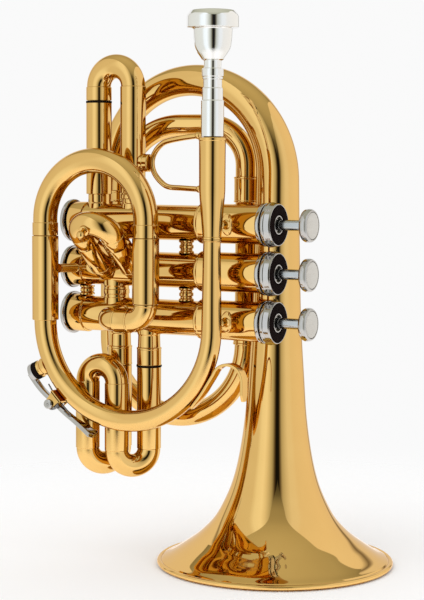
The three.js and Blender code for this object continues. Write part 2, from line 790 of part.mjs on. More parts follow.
// Outside radius of the flare at one height
function flareRadius(height) {
  const held = THREE.MathUtils.clamp(height - RIM_BEAD, flare[flare.length - 1].height, flare[0].height);
  const below = Math.max(flare.findIndex((p) => p.height <= held), 1);
  const [upper, lower] = [flare[below - 1], flare[below]];
  return THREE.MathUtils.mapLinear(held, upper.height, lower.height, upper.radius, lower.radius);
}

function bellRings() {
  const rim = point(BELL_X, BELL_Y, 0);
  const level = (height, radius) => ringAt(
    { at: rim.clone().setZ(height), heading: down, side: xAxis }, radius, BELL_SIDES);
  const tail = [];
  for (let i = 0; i <= LONG_BEND_STEPS; i += 1) {
    const angle = Math.PI - (Math.PI * i) / LONG_BEND_STEPS;
    const share = i / LONG_BEND_STEPS;
    const radius = TAIL_END_R * (1 - share) * (1 - 2 * share) + TAIL_MID_R * 4 * share * (1 - share)
      + THROAT_R * share * (2 * share - 1);
    const at = point(
      (BELL_X + WRAP_LEFT_X) / 2 + tailBend * Math.cos(angle), BELL_Y, tailLine + tailBend * Math.sin(angle));
    const heading = point(Math.sin(angle), 0, -Math.cos(angle));
    const side = point(Math.cos(angle), 0, Math.sin(angle));
    tail.push({ at, heading, side, radius });
  }
  // Wall thickness is set square to the flare, so the inside line is the outside line moved inwards
  const inside = flare.map((p, i) => {
    const above = flare[Math.max(i - 1, 0)];
    const below = flare[Math.min(i + 1, flare.length - 1)];
    const slope = new THREE.Vector2(below.radius - above.radius, below.height - above.height).normalize();
    return { height: p.height + BELL_WALL * slope.x, radius: p.radius + BELL_WALL * slope.y };
  });
  return { level, inside, tail };
}

function bell() {
  const { level, inside, tail } = bellRings();
  const outer = tail.map((s) => ringAt(s, s.radius, BELL_SIDES));
  const inner = tail.map((s) => ringAt(s, s.radius - BELL_WALL, BELL_SIDES)).reverse();
  const bead = [
    level(2 * RIM_BEAD, BELL_RIM_R - RIM_BEAD / 2), level(RIM_BEAD, BELL_RIM_R),
    level(0, BELL_RIM_R - RIM_BEAD / 2), level(0, BELL_RIM_R - 2 * RIM_BEAD),
  ];
  return skin([
    ...outer, ...flare.map((p) => level(p.height + RIM_BEAD, p.radius)), ...bead,
    ...inside.map((p) => level(p.height, p.radius)).reverse(), ...inner,
  ], true);
}

add('bell', bell(), brass);

// Wrap: outlet elbow, upper crook, straight down tube and lower bow, ending below the bell tail
const outletTop = valveHeights[0] + OUTLET_BEND + COLLAR_LENGTH;
const outlet = new Tube(point(OUTLET_X, 0, valveHeights[0]), yAxis, xAxis, PORT_R, PORT_BORE)
  .line(OUTLET_Y - OUTLET_BEND)
  .bend(OUTLET_BEND, Math.PI / 2, zAxis, BEND_STEPS)
  .step(FERRULE_R)
  .line(COLLAR_LENGTH);
add('outlet_elbow', cut(outlet.geometry(), casingRoom(0)), brass);

const acrossWrap = point(WRAP_RIGHT_X - OUTLET_X, WRAP_RIGHT_Y - OUTLET_Y, 0);
const wrapSide = new THREE.Vector3().crossVectors(acrossWrap, zAxis).normalize();
const wrapTop = acrossWrap.length() - UPPER_CROOK_LEFT_BEND - UPPER_CROOK_RIGHT_BEND;
const crookEnd = crookTop - UPPER_CROOK_RIGHT_BEND - COLLAR_LENGTH;
const upperCrook = new Tube(point(OUTLET_X, OUTLET_Y, outletTop + GAP), zAxis, wrapSide, WRAP_R, WRAP_BORE)
  .line(crookTop - UPPER_CROOK_LEFT_BEND - outletTop - GAP)
  .bend(UPPER_CROOK_LEFT_BEND, Math.PI / 2, acrossWrap, BEND_STEPS)
  .line(wrapTop)
  .bend(UPPER_CROOK_RIGHT_BEND, Math.PI / 2, down, BEND_STEPS)
  .line(COLLAR_LENGTH);
add('wrap_upper_crook', upperCrook.geometry(), brass);

const bowSpan = point(WRAP_LEFT_X - WRAP_RIGHT_X, WRAP_LEFT_Y - WRAP_RIGHT_Y, 0);
const bowRadius = bowSpan.length() / 2;
const bowLine = WRAP_BOTTOM + bowRadius;
const downTube = new Tube(point(WRAP_RIGHT_X, WRAP_RIGHT_Y, crookEnd - GAP), down, xAxis, FERRULE_R, WRAP_BORE)
  .line(FERRULE_LENGTH)
  .step(WRAP_R)
  .line(crookEnd - GAP - FERRULE_LENGTH - bowLine - COLLAR_LENGTH);
add('wrap_down_tube', downTube.geometry(), brass);

const bowSide = new THREE.Vector3().crossVectors(bowSpan, zAxis).normalize();
const lowerBow = new Tube(
  point(WRAP_RIGHT_X, WRAP_RIGHT_Y, bowLine + COLLAR_LENGTH - GAP), down, bowSide, FERRULE_R, WRAP_BORE)
  .line(COLLAR_LENGTH - GAP)
  .step(WRAP_R)
  .bend(bowRadius, Math.PI, bowSpan, WIDE_BEND_STEPS)
  .line(tailLine - bowLine - GAP - COLLAR_LENGTH)
  .step(FERRULE_R)
  .line(COLLAR_LENGTH);
add('wrap_lower_bow', lowerBow.geometry(), brass);

// Leadpipe, its receiver and the two fixed tubes of the main tuning slide
const leadBend = (LEAD_X - MAIN_LEFT_X) / 2;
const bowCentre = point((LEAD_X + MAIN_LEFT_X) / 2, LEAD_Y, leadLine);
const receiver = new Tube(point(LEAD_X, LEAD_Y, receiverTop), down, xAxis, RECEIVER_R, SHANK_TIP_R + 3 * GAP)
  .line(RECEIVER_BEAD)
  .step(RECEIVER_R - GAP)
  .line(RECEIVER_LENGTH - RECEIVER_BEAD - GAP, RECEIVER_END_R, LEAD_START_R - LEAD_WALL);
add('mouthpiece_receiver', receiver.geometry(), brass);

const leadpipe = new Tube(
  point(LEAD_X, LEAD_Y, leadJoint), down, xAxis, RECEIVER_END_R + GAP, LEAD_START_R - LEAD_WALL)
  .line(LEAD_COLLAR)
  .step(LEAD_START_R)
  .line(leadJoint - LEAD_COLLAR - leadLine, LEAD_MID_R, LEAD_MID_R - LEAD_WALL)
  .bend(leadBend, Math.PI, point(-1, 0, 0), LONG_BEND_STEPS, LEAD_END_R, LEAD_END_R - LEAD_WALL);

function onBow(angle, distance) {
  return bowCentre.clone().add(point(distance * Math.cos(angle), 0, distance * Math.sin(angle)));
}

function awayFromBow(angle) {
  return point(Math.cos(angle), 0, Math.sin(angle));
}

// Radius of the leadpipe where the water key sits, near the wide end of its bend
const bowTubeAt = (angle) => THREE.MathUtils.lerp(LEAD_END_R, LEAD_MID_R, (angle - Math.PI) / Math.PI);
const leadBow = (extra) => new Tube(point(LEAD_X, LEAD_Y, leadLine), down, xAxis, LEAD_MID_R + extra)
  .bend(leadBend, Math.PI, point(-1, 0, 0), LONG_BEND_STEPS, LEAD_END_R + extra)
  .geometry();
const nippleTop = leadBend + bowTubeAt(KEY_NIPPLE_AT) + NIPPLE_LENGTH;
const nippleAxis = awayFromBow(KEY_NIPPLE_AT);
const nipple = cylinder(NIPPLE_R, onBow(KEY_NIPPLE_AT, leadBend), onBow(KEY_NIPPLE_AT, nippleTop), TUBE_SIDES);
const nippleDrill = cylinder(
  NIPPLE_HOLE, onBow(KEY_NIPPLE_AT, leadBend), onBow(KEY_NIPPLE_AT, nippleTop + CUT_OVERRUN), ROD_SIDES);
add('leadpipe', cut(joined(leadpipe.geometry(), cut(nipple, leadBow(-LEAD_WALL))), nippleDrill), brass);

function mainSleeve(x, end) {
  return new Tube(point(x, LEAD_Y, mainSleeveTop), down, xAxis, SLEEVE_R, SLEEVE_R - SLEEVE_WALL)
    .line(mainSleeveTop - end - GAP);
}

const braceHeight = valveHeights[1];
const braceFrom = point(MAIN_LEFT_X, LEAD_Y, braceHeight);
const braceTo = point(SLIDE_BRACE_X, 0, braceHeight);
const braceSpan = braceTo.clone().sub(braceFrom).length();
const slideBrace = turned([
  [SLEEVE_R - SLEEVE_WALL / 2, 0], [SLEEVE_R - SLEEVE_WALL / 2, SLIDE_BRACE_ROOT_R],
  [SLEEVE_R + SLIDE_BRACE_ROOT, SLIDE_BRACE_ROOT_R], [SLEEVE_R + SLIDE_BRACE_ROOT, SLIDE_BRACE_R],
  [braceSpan, SLIDE_BRACE_R], [braceSpan, 0],
], braceFrom, braceTo.clone().sub(braceFrom), ROD_SIDES);
const leftSleeve = mainSleeve(MAIN_LEFT_X, leadLine);
const slideBore = cylinder(
  SLEEVE_R - SLEEVE_WALL, braceFrom.clone().setZ(leadLine), braceFrom.clone().setZ(mainSleeveTop), TUBE_SIDES);
add('main_sleeve_left', cut(
  joined(leftSleeve.geometry(), cut(slideBrace, slideBore)), casingRoom(1)), brass);
add('main_sleeve_right', mainSleeve(MAIN_RIGHT_X, mainRightEnd).geometry(), brass);

// Elbow from the right slide tube into the third valve
const inletRun = MAIN_RIGHT_X - INLET_X - 2 * INLET_BEND;
const inlet = new Tube(point(MAIN_RIGHT_X, LEAD_Y, mainRightEnd), down, yAxis, THIRD_PORT_R, PORT_BORE)
  .bend(INLET_BEND, Math.PI / 2, point(-1, 0, 0), BEND_STEPS)
  .line(inletRun)
  .bend(INLET_BEND, Math.PI / 2, yAxis, BEND_STEPS)
  .line(-LEAD_Y - INLET_BEND);
add('inlet_elbow', cut(inlet.geometry(), casingRoom(2)), brass);

// Main slide: two legs joined by a crook, with a collar at each end of the crook
const mainBend = (MAIN_RIGHT_X - MAIN_LEFT_X) / 2;
const mainSlide = new Tube(
  point(MAIN_LEFT_X, LEAD_Y, mainSleeveTop + GAP - MAIN_LEG), up, xAxis, INNER_R, INNER_BORE)
  .line(MAIN_LEG)
  .step(SLEEVE_R)
  .line(MAIN_ARCH - mainBend - GAP)
  .step(CROOK_R)
  .bend(mainBend, Math.PI, xAxis, WIDE_BEND_STEPS)
  .step(SLEEVE_R)
  .line(MAIN_ARCH - mainBend - GAP)
  .step(INNER_R)
  .line(MAIN_LEG);
add('main_slide', mainSlide.geometry(), brass);

// First slide: its left leg runs inside a fixed tube, its right leg runs over one
const firstBend = (FIRST_RIGHT_X - FIRST_LEFT_X) / 2;
const firstTubeEnd = FIRST_ARCH - firstBend - GAP;
const firstLeft = new Tube(
  point(FIRST_LEFT_X, 0, valveHeights[0]), up, xAxis, PORT_R, PORT_BORE)
  .line(FIRST_SLEEVE_RISE)
  .sleeve(FIRST_SLEEVE_LENGTH);
add('first_outer_tube', cut(firstLeft.geometry(), casingRoom(0)), brass);

const firstRight = new Tube(
  point(FIRST_RIGHT_X, 0, valveHeights[0]), up, xAxis, PORT_R, INNER_BORE - GAP)
  .line(FIRST_SLEEVE_RISE)
  .step(INNER_R)
  .line(FIRST_LEG);
add('first_inner_tube', cut(firstRight.geometry(), casingRoom(0)), brass);

const firstSlide = new Tube(
  point(FIRST_LEFT_X, 0, firstSleeveTop + GAP - FIRST_LEG), up, xAxis, INNER_R, INNER_BORE)
  .line(FIRST_LEG)
  .step(SLEEVE_R)
  .line(firstTubeEnd)
  .step(CROOK_R)
  .bend(firstBend, Math.PI, xAxis, WIDE_BEND_STEPS)
  .step(SLEEVE_R, INNER_BORE)
  .line(COLLAR_LENGTH)
  .step(SLEEVE_R, SLEEVE_R - SLEEVE_WALL)
  .line(FIRST_SLEEVE_LENGTH + firstTubeEnd - COLLAR_LENGTH - GAP);
add('first_slide', firstSlide.geometry(), brass);

// Thumb saddle on the right leg of the first slide, open towards the buttons
function thumbSaddle() {
  const height = firstSleeveEnd + SADDLE_RISE;
  const wall = FIRST_RIGHT_X + SLEEVE_R;
  const left = wall + SADDLE_BASE_LENGTH;
  const middle = left + SADDLE_HALF;
  const curve = new THREE.CatmullRomCurve3([
    point(wall + SADDLE_REACH, 0, height + SADDLE_HALF),
    point(middle, 0, height + SADDLE_HALF / 2),
    point(left + SADDLE_HALF / 3, 0, height + SADDLE_HALF / 4),
    point(left, 0, height - SADDLE_HALF / 4),
    point(left + SADDLE_HALF / 4, 0, height - SADDLE_HALF),
    point(middle, 0, height - SADDLE_HALF - SADDLE_R),
    point(wall + SADDLE_REACH, 0, height - SADDLE_HALF - SADDLE_R),
  ]);
  const wire = rod(curve.getPoints(2 * WIDE_BEND_STEPS), SADDLE_R);
  const ball = new THREE.SphereGeometry(SADDLE_BALL_R, ROD_SIDES, BALL_BANDS);
  const high = ball.clone().translate(wall + SADDLE_REACH, 0, height + SADDLE_HALF);
  const low = ball.translate(wall + SADDLE_REACH, 0, height - SADDLE_HALF - SADDLE_R);
  const base = turned([
    [FIRST_RIGHT_X, 0], [FIRST_RIGHT_X, SADDLE_BASE_R], [wall + SADDLE_R, SADDLE_BASE_R / 2],
    [left + SADDLE_R / 2, SADDLE_R], [left + SADDLE_R / 2, 0],
  ], point(0, 0, height), xAxis, ROD_SIDES);
  const leg = cylinder(
    SLEEVE_R + GAP, point(FIRST_RIGHT_X, 0, height - SADDLE_HALF),
    point(FIRST_RIGHT_X, 0, height + SADDLE_HALF), TUBE_SIDES);
  return cut(joined(wire, high, low, base), leg);
}

add('thumb_saddle', thumbSaddle(), brass);

// Second slide: each port leaves the valve towards the viewer, and its elbow leans the legs up
const secondDirection = point(0, -Math.cos(SECOND_TILT), Math.sin(SECOND_TILT));
const secondAxis = (x, along) => point(
  x, -SECOND_FRONT - SECOND_ELBOW * Math.sin(SECOND_TILT),
  valveHeights[1] + SECOND_ELBOW * (1 - Math.cos(SECOND_TILT))).addScaledVector(secondDirection, along);

function secondPort(x) {
  const tube = new Tube(point(x, 0, valveHeights[1]), toViewer, xAxis, PORT_R, SECOND_BORE)
    .line(SECOND_FRONT)
    .bend(SECOND_ELBOW, SECOND_TILT, up, TIGHT_BEND_STEPS)
    .step(SECOND_R)
    .line(SLEEVE_FLOOR)
    .step(SECOND_R, SECOND_R - SLEEVE_WALL)
    .line(SECOND_SLEEVE - SLEEVE_FLOOR);
  return cut(tube.geometry(), casingRoom(1));
}

add('second_port_left', secondPort(SECOND_LEFT_X), brass);
add('second_port_right', secondPort(SECOND_RIGHT_X), brass);

const secondBend = (SECOND_RIGHT_X - SECOND_LEFT_X) / 2;

function secondSlide() {
  const inner = SECOND_R - SLEEVE_WALL - GAP;
  const crook = new Tube(
    secondAxis(SECOND_LEFT_X, SECOND_SLEEVE + GAP - SECOND_LEG), secondDirection, xAxis, inner, SECOND_BORE)
    .line(SECOND_LEG)
    .step(SECOND_R)
    .line(SECOND_COLLAR)
    .bend(secondBend, Math.PI, xAxis, WIDE_BEND_STEPS)
    .line(SECOND_COLLAR)
    .step(inner)
    .line(SECOND_LEG)
    .geometry();
  const square = new THREE.Vector3().crossVectors(xAxis, secondDirection);
  const outward = square.multiplyScalar(Math.cos(KNOB_LEAN)).addScaledVector(secondDirection, Math.sin(KNOB_LEAN));
  const top = secondAxis(SECOND_LEFT_X + secondBend, SECOND_SLEEVE + GAP + SECOND_COLLAR + secondBend);
  const wall = top.clone().addScaledVector(outward, SECOND_R - KNOB_NECK_R / 2);
  const tip = wall.clone().addScaledVector(outward, KNOB_NECK + KNOB_NECK_R);
  const ball = new THREE.SphereGeometry(KNOB_R, ROD_SIDES, BALL_BANDS).translate(tip.x, tip.y, tip.z);
  return joined(crook, cylinder(KNOB_NECK_R, wall, tip, ROD_SIDES), ball);
}

add('second_slide', secondSlide(), brass);

// Third slide: fixed inner tubes from the valve, and a double U that slides down over them
const thirdBore = THIRD_R - THIRD_WALL;

function thirdPort(x) {
  const tube = new Tube(point(x, 0, VALVE_3_HEIGHT), down, xAxis, THIRD_PORT_R, PORT_BORE - GAP)
    .line(THIRD_COLLAR_DROP)
    .step(THIRD_COLLAR_R)
    .line(THIRD_COLLAR_LENGTH)
    .step(thirdBore - 2 * GAP, PORT_BORE - 2 * GAP)
    .line(THIRD_LEG);
  return cut(tube.geometry(), casingRoom(2));
}

add('third_port_right', thirdPort(THIRD_RIGHT_X), brass);
add('third_port_left', thirdPort(THIRD_LEFT_X), brass);

const thirdStep = point(THIRD_STEP_X, THIRD_STEP_Y, 0);
const thirdBack = thirdStep.clone().negate();
const thirdTop = VALVE_3_HEIGHT - THIRD_COLLAR_DROP - THIRD_COLLAR_LENGTH - GAP;
const thirdSlide = new Tube(point(THIRD_RIGHT_X, 0, thirdTop), down, xAxis, THIRD_R, thirdBore)
  .line(thirdTop - thirdLowLine)
  .step(THIRD_R, PORT_BORE)
  .bend(thirdStep.length() / 2, Math.PI, thirdStep, BEND_STEPS)
  .line(THIRD_RUN)
  .bend((THIRD_RIGHT_X - THIRD_LEFT_X) / 2, Math.PI, point(-1, 0, 0), BEND_STEPS)
  .line(THIRD_RUN)
  .bend(thirdStep.length() / 2, Math.PI, thirdBack, BEND_STEPS)
  .step(THIRD_R, thirdBore)
  .line(thirdTop - thirdLowLine);
add('third_slide', thirdSlide.geometry(), brass);

// Braces from the leadpipe to the first and third valve, each with an oval flange on the casing
function leadBrace(valve) {
  const height = valveHeights[valve];
  const share = (leadJoint - height) / (leadJoint - leadLine);
  const pipeR = THREE.MathUtils.lerp(LEAD_START_R, LEAD_MID_R, Math.max(share, 0));
  const seat = point(LEAD_X, LEAD_Y + Math.max(pipeR, LEAD_MID_R), height);
  const flange = turned(
    [[0, 0], [0, FLANGE_HEIGHT / 2], [HEAD_R, FLANGE_HEIGHT / 2], [HEAD_R, 0]],
    point(0, 0, 0), yAxis, TUBE_SIDES).scale(FLANGE_WIDTH / FLANGE_HEIGHT, 1, 1);
  flange.translate(LEAD_X, -HEAD_R - FLANGE_DEPTH, height);
  const post = cylinder(BRACE_R, seat, point(LEAD_X, -HEAD_R, height), ROD_SIDES);
  const pipe = cylinder(
    RECEIVER_R - GAP, point(LEAD_X, LEAD_Y, height - FLANGE_HEIGHT),
    point(LEAD_X, LEAD_Y, height + FLANGE_HEIGHT), TUBE_SIDES);
  return cut(joined(flange, post), casingRoom(valve), pipe);
}

add('leadpipe_brace_1', leadBrace(0), brass);
add('leadpipe_brace_3', leadBrace(2), brass);

// Brace from the second valve to the bell throat, behind the valves
function bellBrace() {
  const height = valveHeights[1];
  const bellAxis = point(BELL_X, BELL_Y, height);
  const casingAxis = point(HEAD_END - FLANGE_HEIGHT, 0, height);
  const post = cylinder(BRACE_R, casingAxis, bellAxis, ROD_SIDES);
  const throat = cylinder(
    flareRadius(height - BRACE_R) + GAP, point(BELL_X, BELL_Y, height - FLANGE_HEIGHT),
    point(BELL_X, BELL_Y, height + FLANGE_HEIGHT), BELL_SIDES);
  return cut(post, casingRoom(1), throat);
}

add('bell_brace', bellBrace(), brass);

// Finger hook: the strip follows the bow, lifts off, turns over and hangs down again
function fingerHook() {
  const stripAt = leadBend + bowTubeAt(HOOK_FROM + 2 * Math.PI) + GAP + HOOK_THICK / 2;
  const base = [];
  for (let i = 0; i <= BEND_STEPS; i += 1) {
    base.push(onBow(THREE.MathUtils.lerp(HOOK_FROM, HOOK_LIFT, i / BEND_STEPS), stripAt));
  }
  const lift = base[base.length - 1];
  const hookTop = leadLine - HOOK_TOP_DROP;
  const topCentre = point(lift.x + HOOK_BEND + HOOK_THICK, LEAD_Y, hookTop - HOOK_BEND);
  const over = [];
  for (let i = 0; i <= BEND_STEPS; i += 1) {
    const angle = THREE.MathUtils.lerp(HOOK_TURN_FROM, 0, i / BEND_STEPS);
    over.push(topCentre.clone().add(point(HOOK_BEND * Math.cos(angle), 0, HOOK_BEND * Math.sin(angle))));
  }
  const end = over[over.length - 1].clone().setZ(hookTop - HOOK_HANG);
  const line = [...base, ...over, end];
  const rings = line.map((at, i) => {
    const before = line[Math.max(i - 1, 0)];
    const after = line[Math.min(i + 1, line.length - 1)];
    const heading = after.clone().sub(before).normalize();
    const across = point(-heading.z, 0, heading.x);
    return [[1, 1], [-1, 1], [-1, -1], [1, -1]].map(([wide, thick]) => at.clone()
      .addScaledVector(yAxis, (wide * HOOK_WIDTH) / 2)
      .addScaledVector(across, (thick * HOOK_THICK) / 2));
  });
  return skin(rings, false);
}

add('finger_hook', fingerHook(), brass);

// Water key: a lever between two ears, held shut by a wire spring round its hub
const pivotAt = leadBend + bowTubeAt(KEY_PIVOT_AT) + PIVOT_STAND;
const pivot = onBow(KEY_PIVOT_AT, pivotAt);
const corkFrom = nippleTop + GAP;
const cupFrom = corkFrom + CORK_LENGTH + GAP;
const cupTop = cupFrom + CUP_LENGTH;
const screwReach = HUB_LENGTH / 2 + GAP + EAR_THICK;

add('water_key_cork', cylinder(
  CORK_R, onBow(KEY_NIPPLE_AT, corkFrom), onBow(KEY_NIPPLE_AT, corkFrom + CORK_LENGTH), TUBE_SIDES), cork);

// A flat bar from one point to another in the plane of the bow
function bar(from, to, widthFrom, widthTo, thickness) {
  const heading = to.clone().sub(from).normalize();
  const across = point(-heading.z, 0, heading.x);
  const end = (at, width) => [[1, 1], [-1, 1], [-1, -1], [1, -1]].map(([wide, thick]) => at.clone()
    .addScaledVector(yAxis, (wide * width) / 2)
    .addScaledVector(across, (thick * thickness) / 2));
  return skin([end(from, widthFrom), end(to, widthTo)], false);
}

function waterKeyLever() {
  const cup = turned([
    [cupFrom, 0], [cupFrom, CUP_R], [cupTop - CUP_LENGTH / 3, CUP_R], [cupTop, CUP_R / 2], [cupTop, 0],
  ], onBow(KEY_NIPPLE_AT, 0), nippleAxis, TUBE_SIDES);
  const hub = cylinder(
    HUB_R, pivot.clone().addScaledVector(yAxis, -HUB_LENGTH / 2),
    pivot.clone().addScaledVector(yAxis, HUB_LENGTH / 2), TUBE_SIDES);
  const head = onBow(KEY_NIPPLE_AT, cupTop + LEVER_THICK / 3);
  const tip = onBow(KEY_TIP_AT, leadBend + bowTubeAt(KEY_TIP_AT) + TIP_STAND);
  const middle = pivot.clone().lerp(tip, 1 / 2);
  const hole = cylinder(
    SCREW_R + GAP, pivot.clone().addScaledVector(yAxis, -HUB_LENGTH),
    pivot.clone().addScaledVector(yAxis, HUB_LENGTH), ROD_SIDES);
  return cut(joined(
    cup, hub, bar(head, pivot, LEVER_WIDTH, LEVER_WIDTH, LEVER_THICK),
    bar(pivot, middle, LEVER_WIDTH, LEVER_WIDTH, LEVER_THICK), bar(middle, tip, LEVER_WIDTH, TIP_WIDTH, LEVER_THICK),
  ), hole);
}

add('water_key_lever', waterKeyLever(), nickel);

function waterKeySaddle() {
  const ears = [-1, 1].map((sign) => {
    const at = pivot.clone().addScaledVector(yAxis, sign * (HUB_LENGTH / 2 + GAP + EAR_THICK / 2));
    const half = EAR_THICK / 2;
    const disc = cylinder(
      EAR_R, at.clone().addScaledVector(yAxis, -half), at.clone().addScaledVector(yAxis, half), TUBE_SIDES);
    const heading = awayFromBow(KEY_PIVOT_AT);
    const web = block(
      PIVOT_STAND + EAR_THICK, EAR_THICK, EAR_ROOT,
      at.clone().addScaledVector(heading, -(PIVOT_STAND + EAR_THICK) / 2),
      new THREE.Quaternion().setFromUnitVectors(xAxis, heading));
    return joined(disc, web);
  });
  const base = new THREE.BoxGeometry(2 * EAR_THICK, 2 * screwReach, EAR_ROOT);
  base.applyQuaternion(new THREE.Quaternion().setFromUnitVectors(xAxis, awayFromBow(KEY_PIVOT_AT)));
  const seat = onBow(KEY_PIVOT_AT, leadBend + bowTubeAt(KEY_PIVOT_AT));
  base.translate(seat.x, seat.y, seat.z);
  const hole = cylinder(
    SCREW_R + GAP, pivot.clone().addScaledVector(yAxis, -HUB_LENGTH),
    pivot.clone().addScaledVector(yAxis, HUB_LENGTH), ROD_SIDES);
  return cut(joined(base, ...ears), leadBow(GAP), hole);
}

add('water_key_saddle', waterKeySaddle(), brass);

const screwStart = pivot.clone().addScaledVector(yAxis, -screwReach - GAP);
add('water_key_screw', turned([
  [-SCREW_HEAD, 0], [-SCREW_HEAD, SCREW_HEAD_R], [0, SCREW_HEAD_R], [0, SCREW_R],
  [2 * screwReach, SCREW_R], [2 * screwReach, 0],
], screwStart, yAxis, ROD_SIDES), nickel);

// Wire spring beside the lever: its curls go round the hub, the long end lifts the lever's tip,
// and the short end points back over the saddle
function waterKeySpring() {
  const start = pivot.clone().addScaledVector(yAxis, -HUB_LENGTH / 2 + GAP + KEY_SPRING_WIRE);
  const side = awayFromBow(KEY_PIVOT_AT).negate();
  const coil = coilPoints(start, yAxis, side, KEY_SPRING_R, KEY_SPRING_CURLS, KEY_SPRING_PITCH);
  const along = new THREE.Vector3().crossVectors(yAxis, side);
  const shortEnd = coil[0].clone().addScaledVector(along, -KEY_SPRING_SHORT_ARM);
  const longEnd = coil[coil.length - 1].clone().addScaledVector(along, KEY_SPRING_LONG_ARM);
  console.log(`water key spring: least gap ${leastCoilGap(coil, KEY_SPRING_WIRE).toFixed(2)} mm`);
  return rod([shortEnd, ...coil, longEnd], KEY_SPRING_WIRE, WIRE_SIDES);
}

add('water_key_spring', waterKeySpring(), steel);

// Mouthpiece, turned in one piece
function mouthpiece() {
  const waist = RIM_HEIGHT + CUP_BODY;
  const foot = waist + CUP_TAPER;
  const ring = foot + NECK_LENGTH;
  const smallRing = ring + RING_LENGTH;
  const recess = smallRing + SMALL_RING_LENGTH;
  const cuff = recess + RECESS_LENGTH;
  const sleeve = cuff + CUFF_LENGTH;
  const seat = MOUTHPIECE_SHOWN;
  const outline = [
    [0, CUP_BITE_R + GAP], [0, CUP_RIM_R - RIM_BEVEL], [RIM_BEVEL_DROP, CUP_RIM_R],
    [RIM_HEIGHT, CUP_RIM_R], [RIM_HEIGHT, CUP_BODY_R], [waist, CUP_WAIST_R], [foot, CUP_FOOT_R],
    [foot, NECK_R], [ring, NECK_R], [ring, RING_R], [smallRing, RING_R], [smallRing, SMALL_RING_R],
    [recess, SMALL_RING_R], [recess, RECESS_R], [cuff, RECESS_R], [cuff, CUFF_R], [sleeve, CUFF_R],
    [sleeve, SHANK_R], [seat - GAP, SHANK_R], [seat - GAP, SHANK_TIP_R + GAP],
    [seat + SHANK_IN, SHANK_TIP_R], [seat + SHANK_IN, BACKBORE_R],
    [CUP_DEPTH + NECK_LENGTH, THROAT_BORE], [CUP_DEPTH, THROAT_BORE],
    ...cupShares.map(([depthShare, radiusShare]) => [CUP_DEPTH * depthShare, CUP_BITE_R * radiusShare]),
  ];
  return turned(ringOutline(outline), point(LEAD_X, LEAD_Y, receiverTop + MOUTHPIECE_SHOWN), down, CUP_SIDES);
}

add('mouthpiece', mouthpiece(), silver);

// The frame's origin is under the middle of the whole instrument, at the height of the bell rim
const bounds = new THREE.Box3().setFromObject(trumpet);
const middle = bounds.getCenter(new THREE.Vector3());
trumpet.position.set(-middle.x, -middle.y, -bounds.min.z);

export default trumpet;
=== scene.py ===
# %% [markdown]
# # A pocket trumpet, dressed for its portrait
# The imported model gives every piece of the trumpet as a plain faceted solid, in metres, with its
# joints. This lesson keeps that frame and gives each piece its real skin: drawn brass tube, turned
# caps, pressed felt, pearl and wire. Nothing is moved or resized, so the valves and slides still work.
# The first step loads the frame and remembers the size of the solids.

# %% Load the frame
import math

import bmesh
import bpy
from mathutils import Matrix, Vector


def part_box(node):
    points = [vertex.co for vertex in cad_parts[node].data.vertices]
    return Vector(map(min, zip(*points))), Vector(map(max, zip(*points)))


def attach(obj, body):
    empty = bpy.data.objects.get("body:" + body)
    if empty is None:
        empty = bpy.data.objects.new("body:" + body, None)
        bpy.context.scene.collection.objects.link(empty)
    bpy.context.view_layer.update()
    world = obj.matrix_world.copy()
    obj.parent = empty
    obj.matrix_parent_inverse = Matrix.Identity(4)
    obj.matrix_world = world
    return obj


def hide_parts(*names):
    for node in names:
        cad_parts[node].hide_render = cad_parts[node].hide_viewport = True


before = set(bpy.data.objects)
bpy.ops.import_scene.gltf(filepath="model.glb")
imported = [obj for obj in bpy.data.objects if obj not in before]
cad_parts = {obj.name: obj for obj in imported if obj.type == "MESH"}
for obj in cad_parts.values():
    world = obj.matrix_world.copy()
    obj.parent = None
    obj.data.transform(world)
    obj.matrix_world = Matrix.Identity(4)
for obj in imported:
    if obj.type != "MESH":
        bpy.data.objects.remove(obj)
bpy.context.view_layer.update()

# %% [markdown]
# ## One set of sizes
# A brass player knows the instrument by a few sizes: 25.6 mm between valves, an 11.7 mm bore, a
# bell about 129 mm wide. They are written here in millimetres, from the outer face of the bottom
# caps along the valves, from the valves' own plane across, and up from the bell rim. The frame's own
# boxes tell where that corner lies, so every piece lands on its solid.

# %% Sizes and places
MM = 0.001
cap_low, cap_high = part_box("bottom_cap_3")
CORNER = Vector((cap_low[0], (cap_low[1] + cap_high[1]) / 2, 0))
VALVES = (1, 2, 3)
HEIGHT = {n: (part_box(f"bottom_cap_{n}")[0][2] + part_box(f"bottom_cap_{n}")[1][2]) / 2 / MM for n in VALVES}
SLIT = 0.3
FULL_TURN = 2 * math.pi
HALF_TURN = math.pi
QUARTER_TURN = math.pi / 2

UP = Vector((0, 0, 1))
DOWN = Vector((0, 0, -1))
RIGHT = Vector((1, 0, 0))
LEFT = Vector((-1, 0, 0))
BACK = Vector((0, 1, 0))
FRONT = Vector((0, -1, 0))

SLEEVE_R = 7.0
SLEEVE_BORE = 6.55
LEG_R = 6.25
LEG_BORE = 5.8
CROOK_R = 6.6
PORT_R = 5.9
PORT_BORE = 5.4
COLLAR = 6.0


def spot(p):
    """A place in the trumpet's own millimetres, as a place in the frame."""
    return CORNER + Vector(p) * MM


print("valve heights in mm:", [round(HEIGHT[n], 2) for n in VALVES])

# %% [markdown]
# ## A centre line made of runs and bends
# A tube bender thinks in straight runs and true arcs. Route stores just those, and can say where the
# tube is, where it heads and which way its side faces at any distance along it. Arcs stay exact, so
# the polished tube shows no kinks in its reflections.

# %% Centre lines
BEND_STEP = math.radians(4)


